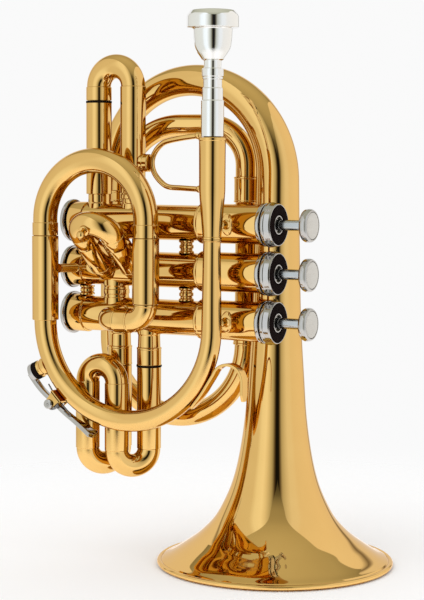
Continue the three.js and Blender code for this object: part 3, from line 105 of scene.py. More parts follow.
class Route:
    """A centre line of straight runs and arcs, asked for by the distance along it."""

    def __init__(self, start, heading, side=RIGHT):
        self.end = (Vector(start), Vector(heading).normalized(), Vector(side).normalized())
        self.length = 0.0
        self.parts = []

    def line(self, length):
        place, heading, side = self.end
        self.parts.append(("line", self.length, length, (place, heading, side)))
        self.end = (place + heading * length, heading, side)
        self.length += length
        return self

    def bend(self, radius, angle, toward):
        place, heading, side = self.end
        toward = Vector(toward).normalized()
        axis = heading.cross(toward).normalized()
        centre = place + toward * radius
        self.parts.append(("bend", self.length, radius * angle, (place, heading, side, centre, axis, radius)))
        turn = Matrix.Rotation(angle, 3, axis)
        self.end = (centre + turn @ (place - centre), turn @ heading, turn @ side)
        self.length += radius * angle
        return self

    def at(self, distance):
        kind, start, length, facts = self.parts[0]
        for kind, start, length, facts in self.parts:
            if distance <= start + length + 1e-6:
                break
        along = distance - start
        if kind == "line":
            place, heading, side = facts
            return place + heading * along, heading, side
        place, heading, side, centre, axis, radius = facts
        turn = Matrix.Rotation(along / radius, 3, axis)
        return centre + turn @ (place - centre), turn @ heading, turn @ side

    def marks(self, low, high):
        """Distances strictly between two others where a bend needs a ring of its own."""
        found = []
        for kind, start, length, facts in self.parts:
            if kind == "bend":
                steps = max(2, math.ceil(length / facts[5] / BEND_STEP))
                found += [start + length * i / steps for i in range(steps + 1)]
        return [d for d in found if low + 1e-4 < d < high - 1e-4]


print("one ring every", round(math.degrees(BEND_STEP)), "degrees of a bend")

# %% [markdown]
# ## From an outline to a skin
# Every turned or drawn piece is an outline carried along a centre line. The outline is a list of
# (distance along, radius) pairs. No edge on a polished horn is knife sharp, so ease() rounds each
# corner a little first: those tiny roundings catch the bright lines that the photograph shows at every
# ferrule.

# %% Eased outlines
EASE = 0.16
EASE_POINTS = 3
BARELY_BENT = math.radians(14)


def ease(outline, radius, closed):
    """The outline with its corners rounded off by short arcs."""
    count = len(outline)
    rounded = []
    for i, here in enumerate(outline):
        if not closed and i in (0, count - 1):
            rounded.append(here)
            continue
        here = Vector(here)
        before, after = Vector(outline[i - 1]) - here, Vector(outline[(i + 1) % count]) - here
        if before.length < 1e-6 or after.length < 1e-6:
            rounded.append(tuple(here))
            continue
        if math.pi - before.angle(after) < BARELY_BENT:
            rounded.append(tuple(here))
            continue
        reach = min(radius, before.length * 0.45, after.length * 0.45)
        start, stop = here + before.normalized() * reach, here + after.normalized() * reach
        for step in range(EASE_POINTS + 1):
            t = step / EASE_POINTS
            rounded.append(tuple(start * (1 - t) ** 2 + here * 2 * t * (1 - t) + stop * t * t))
    return rounded


def hollow(outside, inside):
    """A closed outline from the outside, walked forwards, and the inside, walked back."""
    return list(outside) + list(reversed(inside))


print("a rounded corner has", EASE_POINTS + 1, "points")

# %% Skins
MERGE = 1e-7
SHARP = math.radians(32)
SIDES = 48
ROD_SIDES = 32
HUB_SIDES = 40
RING_SIDES = 64
SHELL_SIDES = 72


def place_object(name, data):
    made = bpy.data.objects.new(name, data)
    bpy.context.collection.objects.link(made)
    return made


def clean_mesh(mesh, dissolve):
    """Joins what touches, turns all faces outwards and smooths all but the sharp edges."""
    work = bmesh.new()
    work.from_mesh(mesh)
    bmesh.ops.remove_doubles(work, verts=work.verts, dist=MERGE)
    if dissolve:
        bmesh.ops.dissolve_degenerate(work, edges=work.edges, dist=MERGE)
    bmesh.ops.recalc_face_normals(work, faces=work.faces)
    work.to_mesh(mesh)
    work.free()
    mesh.shade_smooth()
    mesh.set_sharp_from_angle(angle=SHARP)


def finish_mesh(name, points, faces, material):
    """A closed mesh object from points in the trumpet's millimetres."""
    mesh = bpy.data.meshes.new(name)
    mesh.from_pydata([spot(p) for p in points], [], faces)
    clean_mesh(mesh, dissolve=True)
    mesh.materials.append(material)
    return place_object(name, mesh)


def skin(name, route, outline, material, closed=False, sides=SIDES, seats=(), easing=EASE):
    """The outline carried round and along the route. Each seat is (bore axis, direction, radius)."""
    pairs = ease(outline, easing, closed)
    rows = []
    for i, (distance, radius) in enumerate(pairs):
        rows.append((distance, radius))
        if i == len(pairs) - 1 and not closed:
            break
        next_distance, next_radius = pairs[(i + 1) % len(pairs)]
        low, high = sorted((distance, next_distance))
        marks = route.marks(low, high)
        for mark in marks if distance < next_distance else reversed(marks):
            share = (mark - distance) / (next_distance - distance)
            rows.append((mark, radius + (next_radius - radius) * share))
    points = []
    for distance, radius in rows:
        place, heading, side = route.at(min(max(distance, 0), route.length))
        across = heading.cross(side)
        for k in range(sides):
            angle = FULL_TURN * k / sides
            offset = side * (radius * math.cos(angle)) + across * (radius * math.sin(angle))
            points.append(seated(place + offset, seats))
    faces = []
    for row in range(len(rows) if closed else len(rows) - 1):
        near, far = row * sides, (row + 1) % len(rows) * sides
        for k in range(sides):
            after = (k + 1) % sides
            faces.append((near + k, near + after, far + after, far + k))
    if not closed:
        for row in (0, len(rows) - 1):
            if rows[row][1] > 0:
                faces.append(tuple(range(row * sides, (row + 1) * sides)))
    return finish_mesh(name, points, faces, material)


def seated(point, seats):
    """The point, pushed out of each round casing that a tube end has to sit on."""
    for height, direction, radius in seats:
        from_axis = Vector((0, point.y, point.z - height))
        along = from_axis.dot(direction)
        across = (from_axis - direction * along).length
        reach = math.sqrt(max(radius * radius - across * across, 0))
        if along < reach and across < radius:
            point = point + direction * (reach - along)
    return point


def turned(name, at, axis, outline, material, closed=False, sides=SIDES, easing=EASE):
    """A lathe piece: the outline's distances run along the axis from one place."""
    axis = Vector(axis).normalized()
    low = min(distance for distance, _ in outline)
    high = max(distance for distance, _ in outline)
    side = RIGHT if abs(axis.x) < 0.9 else BACK
    side = (side - axis * side.dot(axis)).normalized()
    route = Route(Vector(at) + axis * low, axis, side).line(high - low)
    shifted = [(distance - low, radius) for distance, radius in outline]
    return skin(name, route, shifted, material, closed, sides, easing=easing)


def dress(piece, body, slot, *nodes):
    """The piece rides on its body and stands for its nodes; the slot is not used."""
    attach(piece, body)
    if nodes:
        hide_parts(*nodes)


def solder(piece, *nodes):
    """Lacquered brass that is soldered to the horn."""
    dress(piece, "horn", "lacquered_brass", *nodes)


print("sides on a tube:", SIDES)

# %% [markdown]
# ## Handled metal
# Brass, nickel, silver and steel are all polished, then handled. What they share is one effect: broad
# patches that are a touch duller, and hair-fine marks that only show at a glance. That is a shader
# node group, built once, with its own scales, so each metal can use it in its own measure. It puts out
# a roughness, a colour mask and a normal; the shader itself stays in each material.

# %% Shared wear group
def node_tree(kind, name):
    tree = bpy.data.node_groups.new(name, kind)
    return tree, tree.nodes, tree.links


def new_material(name):
    """A material with a Principled shader, and its nodes and links."""
    material = bpy.data.materials.new(name)
    material.use_nodes = True
    return material, material.node_tree.nodes, material.node_tree.links


def put(nodes, kind, inputs=(), **settings):
    """A node of a kind, with its settings and with (socket, value) pairs for its inputs."""
    node = nodes.new(kind)
    for title, value in settings.items():
        setattr(node, title, value)
    for socket, value in inputs:
        node.inputs[socket].default_value = value
    return node


def join(links, *pairs):
    """Links between (node, output) and (node, input) pairs."""
    for (source, output), (target, socket) in pairs:
        links.new(source.outputs[output], target.inputs[socket])


def handled_group():
    tree, nodes, links = node_tree("ShaderNodeTree", "handled_metal")
    sockets = (("Patch Scale", 60.0), ("Mark Scale", 900.0), ("Polish", 0.08), ("Dulling", 0.05),
               ("Relief", 0.02))
    for title, value in sockets:
        socket = tree.interface.new_socket(title, in_out="INPUT", socket_type="NodeSocketFloat")
        socket.default_value = value
    tree.interface.new_socket("Patches", in_out="OUTPUT", socket_type="NodeSocketFloat")
    tree.interface.new_socket("Roughness", in_out="OUTPUT", socket_type="NodeSocketFloat")
    tree.interface.new_socket("Normal", in_out="OUTPUT", socket_type="NodeSocketVector")
    given = put(nodes, "NodeGroupInput")
    result = put(nodes, "NodeGroupOutput")
    place = put(nodes, "ShaderNodeTexCoord")
    patches = put(nodes, "ShaderNodeTexNoise", [("Detail", 3)])
    marks = put(nodes, "ShaderNodeTexNoise", [("Detail", 2)])
    dulling = put(nodes, "ShaderNodeMath", operation="MULTIPLY_ADD")
    relief = put(nodes, "ShaderNodeBump", [("Distance", 0.0001)])
    for texture, scale in ((patches, "Patch Scale"), (marks, "Mark Scale")):
        join(links, ((place, "Object"), (texture, "Vector")), ((given, scale), (texture, "Scale")))
    join(links, ((patches, "Fac"), (dulling, 0)), ((given, "Dulling"), (dulling, 1)),
         ((given, "Polish"), (dulling, 2)), ((marks, "Fac"), (relief, "Height")),
         ((given, "Relief"), (relief, "Strength")), ((patches, "Fac"), (result, "Patches")),
         ((dulling, 0), (result, "Roughness")), ((relief, "Normal"), (result, "Normal")))
    return tree


HANDLED = handled_group()
print("wear group sockets:", len(HANDLED.interface.items_tree))

# %% [markdown]
# ## The finishes
# The brass is a warm metal under clear lacquer. Where brass is seen in a reflection, its colour is
# swapped for a darker amber: painted shade in the reflections, which makes the dark honey shapes
# between the tubes. Nickel is a cooler grey, silver nearly white. Two colours of each metal, mixed by
# the patches, keep the surface from looking like one flat colour. Felt, cork, pearl and moulded
# plastic are plain surfaces with their own grain.

# %% Metal materials
def metal(name, bright, deep, polish, dulling, relief, patch_scale, coat=0.0, edge=None, painted_reflection_shade=None):
    material, nodes, links = new_material(name)
    shader = nodes["Principled BSDF"]
    shader.inputs["Metallic"].default_value = 1.0
    shader.inputs["Coat Weight"].default_value = coat
    shader.inputs["Coat Roughness"].default_value = 0.04
    wear = put(nodes, "ShaderNodeGroup", node_tree=HANDLED)
    for title, value in (("Patch Scale", patch_scale), ("Polish", polish), ("Dulling", dulling),
                         ("Relief", relief)):
        wear.inputs[title].default_value = value
    colour = put(nodes, "ShaderNodeMix", data_type="RGBA")
    colour.inputs["A"].default_value = (*bright, 1)
    colour.inputs["B"].default_value = (*deep, 1)
    join(links, ((wear, "Patches"), (colour, "Factor")))
    if edge:
        shader.inputs["Specular Tint"].default_value = (*edge, 1)
    # Painted shade in reflections: rays that come off a glossy surface see this metal in a darker colour than
    # its own.
    if painted_reflection_shade:
        path = put(nodes, "ShaderNodeLightPath")
        reflection_shade_mix = put(nodes, "ShaderNodeMix", data_type="RGBA")
        reflection_shade_mix.inputs["B"].default_value = (*painted_reflection_shade, 1)
        join(links, ((path, "Is Glossy Ray"), (reflection_shade_mix, "Factor")), ((colour, "Result"), (reflection_shade_mix, "A")))
        colour = reflection_shade_mix
    join(links, ((colour, "Result"), (shader, "Base Color")), ((wear, "Roughness"), (shader, "Roughness")),
         ((wear, "Normal"), (shader, "Normal")))
    return material


# The last colour is the painted shade that brass shows when it is seen in a reflection.
BRASS = metal("lacquered_brass", (0.83, 0.525, 0.175), (0.79, 0.48, 0.15), 0.015, 0.03, 0.008, 70,
              coat=0.3, edge=(0.84, 0.70, 0.52), painted_reflection_shade=(0.56, 0.29, 0.02))
NICKEL = metal("nickel_plate", (0.56, 0.54, 0.52), (0.46, 0.44, 0.42), 0.06, 0.10, 0.05, 90)
SILVER = metal("silver_plate", (0.90, 0.89, 0.87), (0.84, 0.83, 0.81), 0.04, 0.06, 0.03, 80)
STEEL = metal("spring_steel", (0.26, 0.25, 0.24), (0.19, 0.18, 0.18), 0.16, 0.12, 0.10, 300)
MONEL = metal("lapped_stem", (0.50, 0.51, 0.51), (0.42, 0.43, 0.44), 0.14, 0.10, 0.08, 200)
print("metals:", [m.name for m in (BRASS, NICKEL, SILVER, STEEL, MONEL)])

# %% [markdown]
# Felt is pressed wool: a fine, uneven nap that swallows light. Cork is much the same with larger
# cells. The finger buttons carry discs with a pearl look, a pale grey with soft bands just under a
# glossy face. The valve guides are moulded and stay plain white. Each gets two colours and a bump of
# its own scale.

# %% Soft and moulded materials
def grained(name, pale, dark, scale, roughness, relief, depth, gloss=0.5, stretch=(1, 1, 1)):
    material, nodes, links = new_material(name)
    shader = nodes["Principled BSDF"]
    shader.inputs["Roughness"].default_value = roughness
    shader.inputs["Specular IOR Level"].default_value = gloss
    place = put(nodes, "ShaderNodeTexCoord")
    fit = put(nodes, "ShaderNodeMapping", [("Scale", stretch)])
    grain = put(nodes, "ShaderNodeTexNoise", [("Scale", scale), ("Detail", 4)])
    colours = put(nodes, "ShaderNodeMix", data_type="RGBA")
    colours.inputs["A"].default_value = (*dark, 1)
    colours.inputs["B"].default_value = (*pale, 1)
    bump = put(nodes, "ShaderNodeBump", [("Strength", relief), ("Distance", depth)])
    join(links, ((place, "Object"), (fit, "Vector")), ((fit, "Vector"), (grain, "Vector")),
         ((grain, "Fac"), (colours, "Factor")), ((colours, "Result"), (shader, "Base Color")),
         ((grain, "Fac"), (bump, "Height")), ((bump, "Normal"), (shader, "Normal")))
    return material


FELT = grained("black_felt", (0.018, 0.010, 0.009), (0.004, 0.002, 0.002), 2600, 0.95, 0.8, 0.0003,
               gloss=0.03)
# This dark colour also makes the rings that paint shade in the caps' grooves.
CORK_AND_GROOVE_SHADE = grained("dark_cork_and_groove_shade", (0.012, 0.007, 0.005), (0.004, 0.002, 0.002), 900, 0.85, 0.2, 0.0001, gloss=0.04)
PEARL = grained("pearl_disc", (0.66, 0.63, 0.57), (0.54, 0.51, 0.46), 160, 0.14, 0.05, 0.0001,
                stretch=(1, 1, 3))
GUIDE = grained("guide_plastic", (0.80, 0.79, 0.76), (0.74, 0.73, 0.70), 400, 0.45, 0.1, 0.0001)
print("soft and moulded:", [m.name for m in (FELT, CORK_AND_GROOVE_SHADE, PEARL, GUIDE)])

# %% [markdown]
# ## Valve casings
# Each valve is a brass casing: a wide foot that takes the bottom cap, a slim middle, a ring bead and a
# wider sleeve at the top, where the piston's spring barrel runs. It is a turned shell with a real bore,
# so the piston inside stays clear of it. Casings 1 and 2, and 2 and 3, are tied by short turned posts
# with a foot at each end and a bead between, which belong to casing 2.

# %% Casings and posts
CASING_BORE = 8.5
CASING_R = 9.5
CASING_START = 1.9
CASING_END = 125.6
FOOT_R = 10.4
FOOT_NECK_R = 9.8
HEAD_NECK_R = 9.4
FOOT_START = 4.0
FOOT_END = 12.4
HEAD_R = 10.5
HEAD_START = 86.5
HEAD_END = 121.0
POST_HIGH_X = 74.5
POST_LOW_X = 11.0
POST_R = 3.3
POST_BEAD_R = 3.9
SEAT_DEPTH = 0.1


def axis_place(number, x=0.0):
    return Vector((x, 0, HEIGHT[number]))


def casing_seat(number, direction):
    """Where a tube that comes from this direction sits on a casing."""
    return ((HEIGHT[number], direction, CASING_R - SEAT_DEPTH),)


def casing_outline():
    return hollow([(CASING_START, FOOT_NECK_R), (FOOT_START, FOOT_NECK_R), (FOOT_START, FOOT_R),
                   (FOOT_END, FOOT_R), (FOOT_END + 0.3, CASING_R), (HEAD_START - 2.2, CASING_R),
                   (HEAD_START - 2.0, HEAD_R + 0.1), (HEAD_START - 1.6, HEAD_R + 0.45),
                   (HEAD_START - 0.6, HEAD_R + 0.45), (HEAD_START - 0.2, HEAD_R), (HEAD_END, HEAD_R),
                   (HEAD_END, HEAD_NECK_R), (CASING_END, HEAD_NECK_R)],
                  [(CASING_START, CASING_BORE), (CASING_END, CASING_BORE)])


def post(number_above, x, radius_above, radius_below):
    """A beaded post that stands between two casings."""
    low = HEIGHT[number_above + 1] + radius_below - 0.1
    span = HEIGHT[number_above] - radius_above + 0.1 - low
    half = [(0, 0), (0, 4.2), (0.9, 4.1), (1.4, POST_R), (span / 2 - 1.1, POST_R),
            (span / 2 - 0.8, POST_BEAD_R)]
    mirrored = [(span - distance, radius) for distance, radius in reversed(half)]
    return turned(f"casing_post_{number_above}_{int(x)}", (x, 0, low), UP, half + mirrored, BRASS,
                  sides=ROD_SIDES, easing=0.2)


for number in VALVES:
    shell = turned(f"casing_{number}", axis_place(number), RIGHT, casing_outline(), BRASS, closed=True,
                   sides=SHELL_SIDES)
    solder(shell, f"valve_casing_{number}")
for number, x, above, below in ((1, POST_HIGH_X, CASING_R, CASING_R), (2, POST_HIGH_X, CASING_R, CASING_R),
                                (2, POST_LOW_X, FOOT_R, FOOT_R)):
    solder(post(number, x, above, below))
print("casings are", HEAD_END, "mm long to the top cap")

# %% [markdown]
# ## Caps and felts
# The bottom cap is a nickel cup with a vent hole. The top cap is turned with a thin ring, a dark groove
# and a broad ring that rolls over to a bright lip; a felt ring lies in its face round the stem and
# hushes the button. The grooves of both caps hold a dark ring: painted shade, where the threads and the
# groove lie in shadow.

# %% Caps and felts
CAP_R = 11.8
CAP_START = 121.3
CAP_FACE = 130.1
FELT_IN = 5.4
FELT_OUT = 10.3
GROOVE_R = 10.3
STEM_R = 2.76


def bottom_cap_outline():
    return hollow(
        [(0, 1.3), (0, 6.0), (0.5, 6.4), (0.5, 8.6), (0, 9.0), (0, 10.7), (0.4, 11.4), (1.2, CAP_R),
         (2.6, CAP_R), (3.1, 11.5)],
        [(1.6, 1.3), (1.6, 10.2), (3.1, 10.2)])


def top_cap_outline():
    return hollow([(CAP_START, 9.8), (CAP_START, 11.1), (121.6, 11.4), (123.2, 11.4), (123.5, 11.1),
                   (123.5, GROOVE_R), (124.5, GROOVE_R), (124.5, 11.5), (124.9, CAP_R), (126.2, CAP_R),
                   (126.6, 11.55), (129.3, 11.25), (CAP_FACE, 10.85), (CAP_FACE, FELT_OUT + 0.2),
                   (128.3, FELT_OUT + 0.2)],
                  [(CAP_START, 9.8), (126.2, 9.8), (126.2, 3.3), (127.4, 3.3), (127.4, 4.4), (CAP_FACE, 4.4),
                   (CAP_FACE, 5.0), (128.3, 5.2)])


def band(start, stop, outer, inner):
    """Closed outline of a plain ring."""
    return hollow([(start, outer), (stop, outer)], [(start, inner), (stop, inner)])


def felt_outline():
    return hollow([(128.6, FELT_OUT), (130.1, FELT_OUT), (130.4, FELT_OUT - 0.4)],
                  [(128.6, FELT_IN), (130.1, FELT_IN), (130.4, FELT_IN + 0.4)])


for number in VALVES:
    at = axis_place(number)
    dress(turned(f"bottom_cap_shell_{number}", at, RIGHT, bottom_cap_outline(), NICKEL, closed=True,
                 sides=SHELL_SIDES), "horn", "nickel_plate", f"bottom_cap_{number}")
    dress(turned(f"top_cap_shell_{number}", at, RIGHT, top_cap_outline(), NICKEL, closed=True,
                 sides=SHELL_SIDES), "horn", "nickel_plate", f"top_cap_{number}")
    dress(turned(f"felt_ring_{number}", at, RIGHT, felt_outline(), FELT, closed=True, sides=RING_SIDES),
          "horn", "felt", f"top_felt_{number}")
    # Dark rings of the cork colour paint the shade in the thread gap and in the top cap's groove.
    for end, low, high, outer, inner in (("low", 3.15, 3.95, 10.15, 9.85),
                                         ("high", 123.55, 124.45, 10.7, 10.35)):
        dress(turned(f"cap_groove_shade_{end}_{number}", at, RIGHT, band(low, high, outer, inner), CORK_AND_GROOVE_SHADE,
                     closed=True, sides=RING_SIDES), "horn", "cork")
print("felt rings:", FELT_IN * 2, "to", FELT_OUT * 2, "mm")

# %% [markdown]
# ## Stems, buttons and pearls
# Only the stem of each piston shows. The piston solid stays as it is inside its casing, and a smooth
# stem is slipped over its faceted one. The button is a turned nickel cup with a rolled edge, and the
# pearl is a low dome set in it.

# %% Stems and buttons
BUTTON_BACK = 143.5
BUTTON_R = 8.75
BUTTON_LENGTH = 6.2
PEARL_R = 7.0


def button_outline():
    front = BUTTON_BACK + BUTTON_LENGTH
    return [(BUTTON_BACK, 0), (BUTTON_BACK, 3.3), (BUTTON_BACK + 0.3, 3.6), (BUTTON_BACK + 1.1, 3.7),
            (BUTTON_BACK + 1.5, 7.6), (BUTTON_BACK + 2.0, 8.3), (BUTTON_BACK + 2.9, 8.72),
            (front - 1.9, BUTTON_R), (front - 0.9, 8.5), (front - 0.2, 7.9), (front, 7.5),
            (front - 0.1, 7.25), (front - 1.5, 7.15), (front - 1.5, 0)]


def pearl_outline():
    rim = BUTTON_BACK + BUTTON_LENGTH
    return [(rim - 1.2, 0), (rim - 1.2, PEARL_R), (rim - 0.25, PEARL_R), (rim - 0.02, PEARL_R - 0.5),
            (rim + 0.1, 5.0), (rim + 0.2, 2.5), (rim + 0.22, 0)]


for number in VALVES:
    at, body = axis_place(number), f"piston_group_{number}"
    stem = turned(f"stem_{number}", at, RIGHT,
                  [(124.0, 0), (124.0, STEM_R), (BUTTON_BACK - 0.1, STEM_R), (BUTTON_BACK - 0.1, 0)], MONEL,
                  sides=HUB_SIDES)
    dress(stem, body, "monel")
    dress(turned(f"button_{number}", at, RIGHT, button_outline(), NICKEL, sides=SHELL_SIDES), body,
          "nickel_plate", f"finger_button_{number}")
    dress(turned(f"pearl_{number}", at, RIGHT, pearl_outline(), PEARL, sides=RING_SIDES), body, "pearl",
          f"button_pearl_{number}")
    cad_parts[f"piston_{number}"].material_slots[0].material = MONEL
    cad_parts[f"valve_guide_{number}"].material_slots[0].material = GUIDE
    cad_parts[f"piston_spring_{number}"].material_slots[0].material = STEEL
print("button face is", BUTTON_R * 2, "mm wide")

# %% [markdown]
# ## The bell
# The bell starts as a narrow tail on the left, goes over the top in one wide bend that opens all the
# way, and falls straight into the flare. Its radius is a smooth curve through a few measured heights;
# the wall is thin and the edge is rolled round a wire. One outline along one route makes the whole
# piece, so the long reflection runs down it without a break.

# %% Bell
BELL_X = 114.8
BELL_Y = 28.0
BELL_WALL = 0.8
RIM_WIRE = 1.5
RIM_R = 64.5
TAIL_X = 9.0
TAIL_TOP = 263.3
TAIL_BEND = (BELL_X - TAIL_X) / 2
TAIL_LINE = TAIL_TOP - TAIL_BEND
TAIL_R = 6.5
MIDDLE_R = 8.5
THROAT_R = 11.6
BELL_SIDES = 128
FLARE = ((172.5, 12.3), (133.2, 13.4), (100.7, 15.4), (80.2, 16.9), (60.0, 19.8), (44.9, 23.5), (33.0, 28.5),
         (24.1, 33.8), (16.0, 41.7), (10.05, 49.7), (5.5, 56.7), (3.3, 61.3))
FLARE_STEPS = 7
RIM_PART = 12


def smooth_curve(points, steps):
    """Points of a Catmull-Rom curve through a list of pairs."""
    line = [Vector(p) for p in points]
    line = [line[0] * 2 - line[1]] + line + [line[-1] * 2 - line[-2]]
    drawn = []
    for a, b, c, d in zip(line, line[1:], line[2:], line[3:]):
        for i in range(steps):
            t = i / steps
            drawn.append(tuple((b * 2 + (c - a) * t + (a * 2 - b * 5 + c * 4 - d) * t * t
                                + (b * 3 - a - c * 3 + d) * t * t * t) / 2))
    return drawn + [tuple(line[-2])]


def tail_radius(share):
    """Radius along the tail's bend, through its three measured places."""
    return (TAIL_R * (1 - share) * (1 - 2 * share) + MIDDLE_R * 4 * share * (1 - share)
            + THROAT_R * share * (2 * share - 1))


def bell_piece():
    route = Route((TAIL_X, BELL_Y, TAIL_LINE), UP, LEFT).bend(TAIL_BEND, HALF_TURN, RIGHT).line(TAIL_LINE)
    arc = HALF_TURN * TAIL_BEND
    count = 60
    rim_part = arc + TAIL_LINE - RIM_PART
    outside = [(arc * i / count, tail_radius(i / count)) for i in range(count + 1)]
    flare = smooth_curve([(TAIL_LINE, THROAT_R), *FLARE], FLARE_STEPS)[1:]
    outside += [(arc + TAIL_LINE - height, radius) for height, radius in flare]
    inside = [(distance, radius - BELL_WALL) for distance, radius in outside if distance < rim_part]
    for (da, ra), (db, rb) in zip(outside, outside[1:]):
        if da < rim_part:
            continue
        slope = Vector((db - da, rb - ra)).normalized()
        inside.append((da + slope.y * BELL_WALL, ra - slope.x * BELL_WALL))
    wire = []
    for i in range(15):
        angle = math.radians(118 - 290 * i / 14)
        wire.append((arc + TAIL_LINE - RIM_WIRE - RIM_WIRE * math.cos(angle),
                     RIM_R - RIM_WIRE + RIM_WIRE * math.sin(angle)))
    return skin("bell_skin", route, hollow(outside + wire, inside), BRASS, closed=True, sides=BELL_SIDES,
                easing=0.02)


solder(bell_piece(), "bell")
print("bell rim", RIM_R * 2, "mm, tail top at", TAIL_TOP, "mm")

# %% [markdown]
# ## The wrap behind the valves
# Air leaves valve 1 through an elbow, climbs over the upper crook, drops down a long straight tube and
# turns back under the valves into the bell's tail. Each joint has a ferrule, a slightly wider ring with
# a fine line at each end. Tubes that are soldered to a casing end in a saddle cut, so seated() pushes
# their first rings onto the casing's round side.

# %% Wrap
OUTLET_X = 21.5
OUTLET_Y = 20.5
OUTLET_BEND = 10.5
WRAP_RIGHT = Vector((93.3, 33.0, 0))
WRAP_LEFT = Vector((TAIL_X, BELL_Y, 0))
WRAP_R = 6.1
FERRULE_R = 6.8
FERRULE = 14.0
LIP_WIDE = 0.9
SOLDER_BEAD = 0.5
CROOK_TOP = 238.6
CROOK_LEFT = 34.0
CROOK_RIGHT = 22.0
BOW_BOTTOM = 76.4
outlet_top = HEIGHT[1] + OUTLET_BEND + COLLAR
crook_end = CROOK_TOP - CROOK_RIGHT - COLLAR


def ferrule(start, stop, radius=FERRULE_R, lip=0.25):
    """Outline of a ferrule: a plain band with a raised lip at each end."""
    half = [(0, radius), (0.1, radius + lip), (LIP_WIDE, radius + lip), (LIP_WIDE + 0.2, radius)]
    return [(start + d, r) for d, r in half] + [(stop - d, r) for d, r in reversed(half)]


def flared(radius, casing_r):
    """Start of a tube outline at a casing: a small solder fillet, then the tube."""
    return [(0, radius + SOLDER_BEAD), (casing_r + 0.25, radius + SOLDER_BEAD * 0.7),
            (casing_r + 0.6, radius + SOLDER_BEAD * 0.25), (casing_r + 1.1, radius)]


def flared_end(length, radius, casing_r):
    """The same fillet at the far end of a tube."""
    return [(length - distance, wide) for distance, wide in reversed(flared(radius, casing_r))]


def wrap_pieces():
    elbow = Route((OUTLET_X, 0, HEIGHT[1]),
                  BACK).line(OUTLET_Y - OUTLET_BEND).bend(OUTLET_BEND, QUARTER_TURN, UP).line(COLLAR)
    outline = [(0, 0), *flared(PORT_R, CASING_R), (elbow.length - COLLAR - 0.1, PORT_R),
               *ferrule(elbow.length - COLLAR, elbow.length), (elbow.length, 0)]
    yield skin("outlet_elbow_skin", elbow, outline, BRASS, seats=casing_seat(1, BACK)), "outlet_elbow"

    across = Vector((WRAP_RIGHT.x - OUTLET_X, WRAP_RIGHT.y - OUTLET_Y, 0))
    crook = Route((OUTLET_X, OUTLET_Y, outlet_top + SLIT / 2), UP, across.cross(UP))
    crook.line(CROOK_TOP - CROOK_LEFT - outlet_top - SLIT / 2).bend(CROOK_LEFT, QUARTER_TURN, across)
    crook.line(across.length - CROOK_LEFT - CROOK_RIGHT).bend(CROOK_RIGHT, QUARTER_TURN, DOWN).line(COLLAR)
    yield skin("upper_crook_skin", crook, [(0, 0), (0, WRAP_R), (crook.length, WRAP_R), (crook.length, 0)],
               BRASS), "wrap_upper_crook"

    span = WRAP_LEFT - WRAP_RIGHT
    bow_r = span.length / 2
    line = BOW_BOTTOM + bow_r
    fall = crook_end - line - COLLAR
    tube = Route((WRAP_RIGHT.x, WRAP_RIGHT.y, crook_end), DOWN).line(fall)
    outline = [(0, 0), (0, WRAP_R + 0.3), *ferrule(0.05, FERRULE), (FERRULE + 0.1, WRAP_R), (fall, WRAP_R),
               (fall, 0)]
    yield skin("down_tube_skin", tube, outline, BRASS), "wrap_down_tube"

    bow = Route((WRAP_RIGHT.x, WRAP_RIGHT.y, line + COLLAR), DOWN,
                span.cross(UP)).line(COLLAR).bend(bow_r, HALF_TURN, span)
    bow.line(TAIL_LINE - line - SLIT / 2)
    outline = [(0, 0), *ferrule(0, COLLAR), (COLLAR + 0.1, WRAP_R), (bow.length - COLLAR - 0.1, WRAP_R),
               *ferrule(bow.length - COLLAR, bow.length), (bow.length, 0)]
    yield skin("lower_bow_skin", bow, outline, BRASS), "wrap_lower_bow"


for piece, node in wrap_pieces():
    solder(piece, node)
print("wrap pieces reach from", BOW_BOTTOM, "to", CROOK_TOP, "mm")

# %% [markdown]
# ## Leadpipe and receiver
# The mouthpiece sits in a receiver, straight at first and then tapered. Below it the leadpipe runs
# down and round under the valves, growing a little all the way. The receiver has a rolled top and
# stays open, because the mouthpiece can be lifted out.

# %% Leadpipe and receiver
LEAD_X = 104.8
LEAD_Y = -26.5
MAIN_LEFT_X = 1.1
MAIN_RIGHT_X = 65.0
LEAD_JOINT = 178.6
LEAD_LINE = 132.4
LEAD_BEND = (LEAD_X - MAIN_LEFT_X) / 2
LEAD_START_R = 4.5
LEAD_MID_R = 5.3
LEAD_END_R = 6.1
RECEIVER_TOP = 231.0
RECEIVER_R = 6.8
RECEIVER_END_R = 4.7
RECEIVER_RING_R = RECEIVER_END_R + 0.4
RECEIVER_BODY = 27.0
BOW = Vector(((LEAD_X + MAIN_LEFT_X) / 2, LEAD_Y, LEAD_LINE))


def bow_radius(angle):
    """Tube radius of the leadpipe's bend, by the angle round its centre."""
    return LEAD_END_R + (LEAD_MID_R - LEAD_END_R) * (angle - math.pi) / math.pi


def away(degrees):
    """The way that leads out from the bow's centre at an angle."""
    angle = math.radians(degrees)
    return Vector((math.cos(angle), 0, math.sin(angle)))


def on_bow(degrees, distance):
    return BOW + away(degrees) * distance


receiver = Route((LEAD_X, LEAD_Y, RECEIVER_TOP), DOWN).line(RECEIVER_TOP - LEAD_JOINT - SLIT / 2)
receiver_outline = hollow(
    [(0, RECEIVER_R), (0.3, RECEIVER_R + 0.35), (1.5, RECEIVER_R + 0.35), (1.8, RECEIVER_R + 0.1),
     (RECEIVER_BODY, RECEIVER_R), (RECEIVER_BODY + 4.0, RECEIVER_R - 0.25),
     (receiver.length - 1.3, RECEIVER_END_R + 0.1), (receiver.length - 1.2, RECEIVER_RING_R),
     (receiver.length, RECEIVER_RING_R)],
    [(0, 5.2), (0.6, 5.0), (receiver.length, 3.7)])
solder(skin("receiver_skin", receiver, receiver_outline, BRASS, closed=True), "mouthpiece_receiver")

